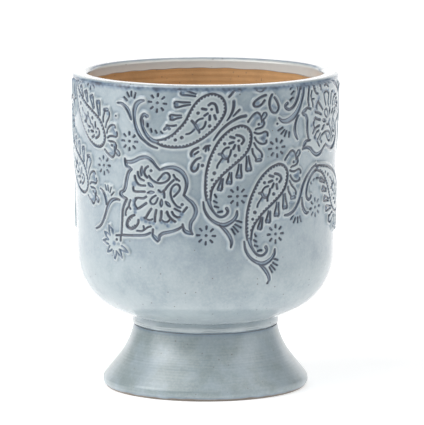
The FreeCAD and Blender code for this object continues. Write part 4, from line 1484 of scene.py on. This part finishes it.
class PLANTER_OT_stage(bpy.types.Operator):
    """Makes the white floor, the studio lights and the camera"""

    bl_idname = "planter.stage"
    bl_label = "Studio"

    def execute(self, context):
        studio = context.scene.planter_studio
        add_floor(studio.sheet_glow)
        for name, (place, target, size) in studio_lights.items():
            add_light(name, place, target, size, getattr(studio, name))
        world = bpy.data.worlds.new("white_room")
        world.use_nodes = True
        world.node_tree.nodes["Background"].inputs["Color"].default_value = (1.0, 1.0, 1.0, 1.0)
        world.node_tree.nodes["Background"].inputs["Strength"].default_value = studio.room
        context.scene.world = world
        context.scene.view_settings.view_transform = "Standard"
        lens = bpy.data.cameras.new("studio_camera")
        lens.lens = studio.focal_length
        lens.clip_end = 50
        camera = bpy.data.objects.new("studio_camera", lens)
        camera.location = (0, -studio.camera_distance, studio.camera_height)
        aim_at(camera, camera_target)
        context.scene.collection.objects.link(camera)
        context.scene.camera = camera
        return {"FINISHED"}


def aim_at(thing, target):
    """Turns a lamp or the camera, which look along their own -Z, towards a point."""
    toward = [end - start for start, end in zip(thing.location, target)]
    thing.rotation_euler = type(thing.location)(toward).to_track_quat("-Z", "Y").to_euler()


def add_light(name, place, target, size, power):
    light = bpy.data.lights.new(name, "AREA")
    light.shape = "RECTANGLE"
    light.size, light.size_y = size
    light.energy = power
    lamp = bpy.data.objects.new(name, light)
    lamp.location = place
    aim_at(lamp, target)
    bpy.context.scene.collection.objects.link(lamp)


def add_floor(glow):
    """A wide white sheet that curves up behind, and gives off more light far away than near."""
    path = [(y, 0.0) for y in np.linspace(sheet_front, sheet_back, 16)]
    for turn in np.linspace(0.1, math.pi / 2, 14):
        path.append((sheet_back + sheet_bend * math.sin(turn), sheet_bend - sheet_bend * math.cos(turn)))
    path += [(sheet_back + sheet_bend, z) for z in np.linspace(1.6, sheet_top, 5)]
    across = np.linspace(-sheet_side, sheet_side, 11)
    points = [(x, y, z) for y, z in path for x in across]
    count = len(across)
    corners = [row * count + column for row in range(len(path) - 1) for column in range(count - 1)]
    faces = [(corner, corner + 1, corner + count + 1, corner + count) for corner in corners]
    mesh = bpy.data.meshes.new("white_sheet")
    mesh.from_pydata(points, [], faces)
    mesh.polygons.foreach_set("use_smooth", [True] * len(faces))
    floor = bpy.data.objects.new("white_sheet", mesh)
    bpy.context.scene.collection.objects.link(floor)
    finish = Finish("white_sheet")
    tint = finish.mix(finish.noise(3.0), (0.90, 0.90, 0.90, 1.0), (0.94, 0.94, 0.94, 1.0))
    finish.link(tint, finish.shader.inputs["Base Color"])
    finish.shader.inputs["Roughness"].default_value = 0.7
    finish.shader.inputs["Emission Color"].default_value = (1.0, 1.0, 1.0, 1.0)
    depth = finish.add("ShaderNodeSeparateXYZ")
    finish.link(finish.place, depth.inputs["Vector"])
    strength = finish.span(depth.outputs["Y"], 0.0, glow_reach, near_glow, glow)
    finish.link(strength, finish.shader.inputs["Emission Strength"])
    mesh.materials.append(finish.material)


class PLANTER_PT_panel(bpy.types.Panel):
    """Lists the planter's pieces, sizes and colours"""

    bl_idname = "PLANTER_PT_panel"
    bl_label = "Footed planter"
    bl_space_type = "VIEW_3D"
    bl_region_type = "UI"
    bl_category = "Planter"

    def draw(self, context):
        for name in groups:
            group = getattr(context.scene, name)
            box = self.layout.box()
            for key in group.__annotations__:
                box.prop(group, key)
        for operator in steps:
            self.layout.operator(operator.bl_idname)


steps = (
    PLANTER_OT_border,
    PLANTER_OT_belly,
    PLANTER_OT_rim,
    PLANTER_OT_inside,
    PLANTER_OT_collar,
    PLANTER_OT_foot,
    PLANTER_OT_stage,
)
groups = {
    "planter_sizes": PlanterSizes,
    "planter_colours": PlanterColours,
    "planter_studio": PlanterStudio,
}


def register():
    for item in (*groups.values(), *steps, PLANTER_PT_panel):
        bpy.utils.register_class(item)
    for name, group in groups.items():
        setattr(bpy.types.Scene, name, bpy.props.PointerProperty(type=group))


def unregister():
    for name in groups:
        delattr(bpy.types.Scene, name)
    for item in (PLANTER_PT_panel, *reversed(steps), *reversed(groups.values())):
        bpy.utils.unregister_class(item)


def main():
    register()
    for operator in steps:
        family, name = operator.bl_idname.split(".")
        getattr(getattr(bpy.ops, family), name)()


if __name__ == "__main__":
    main()
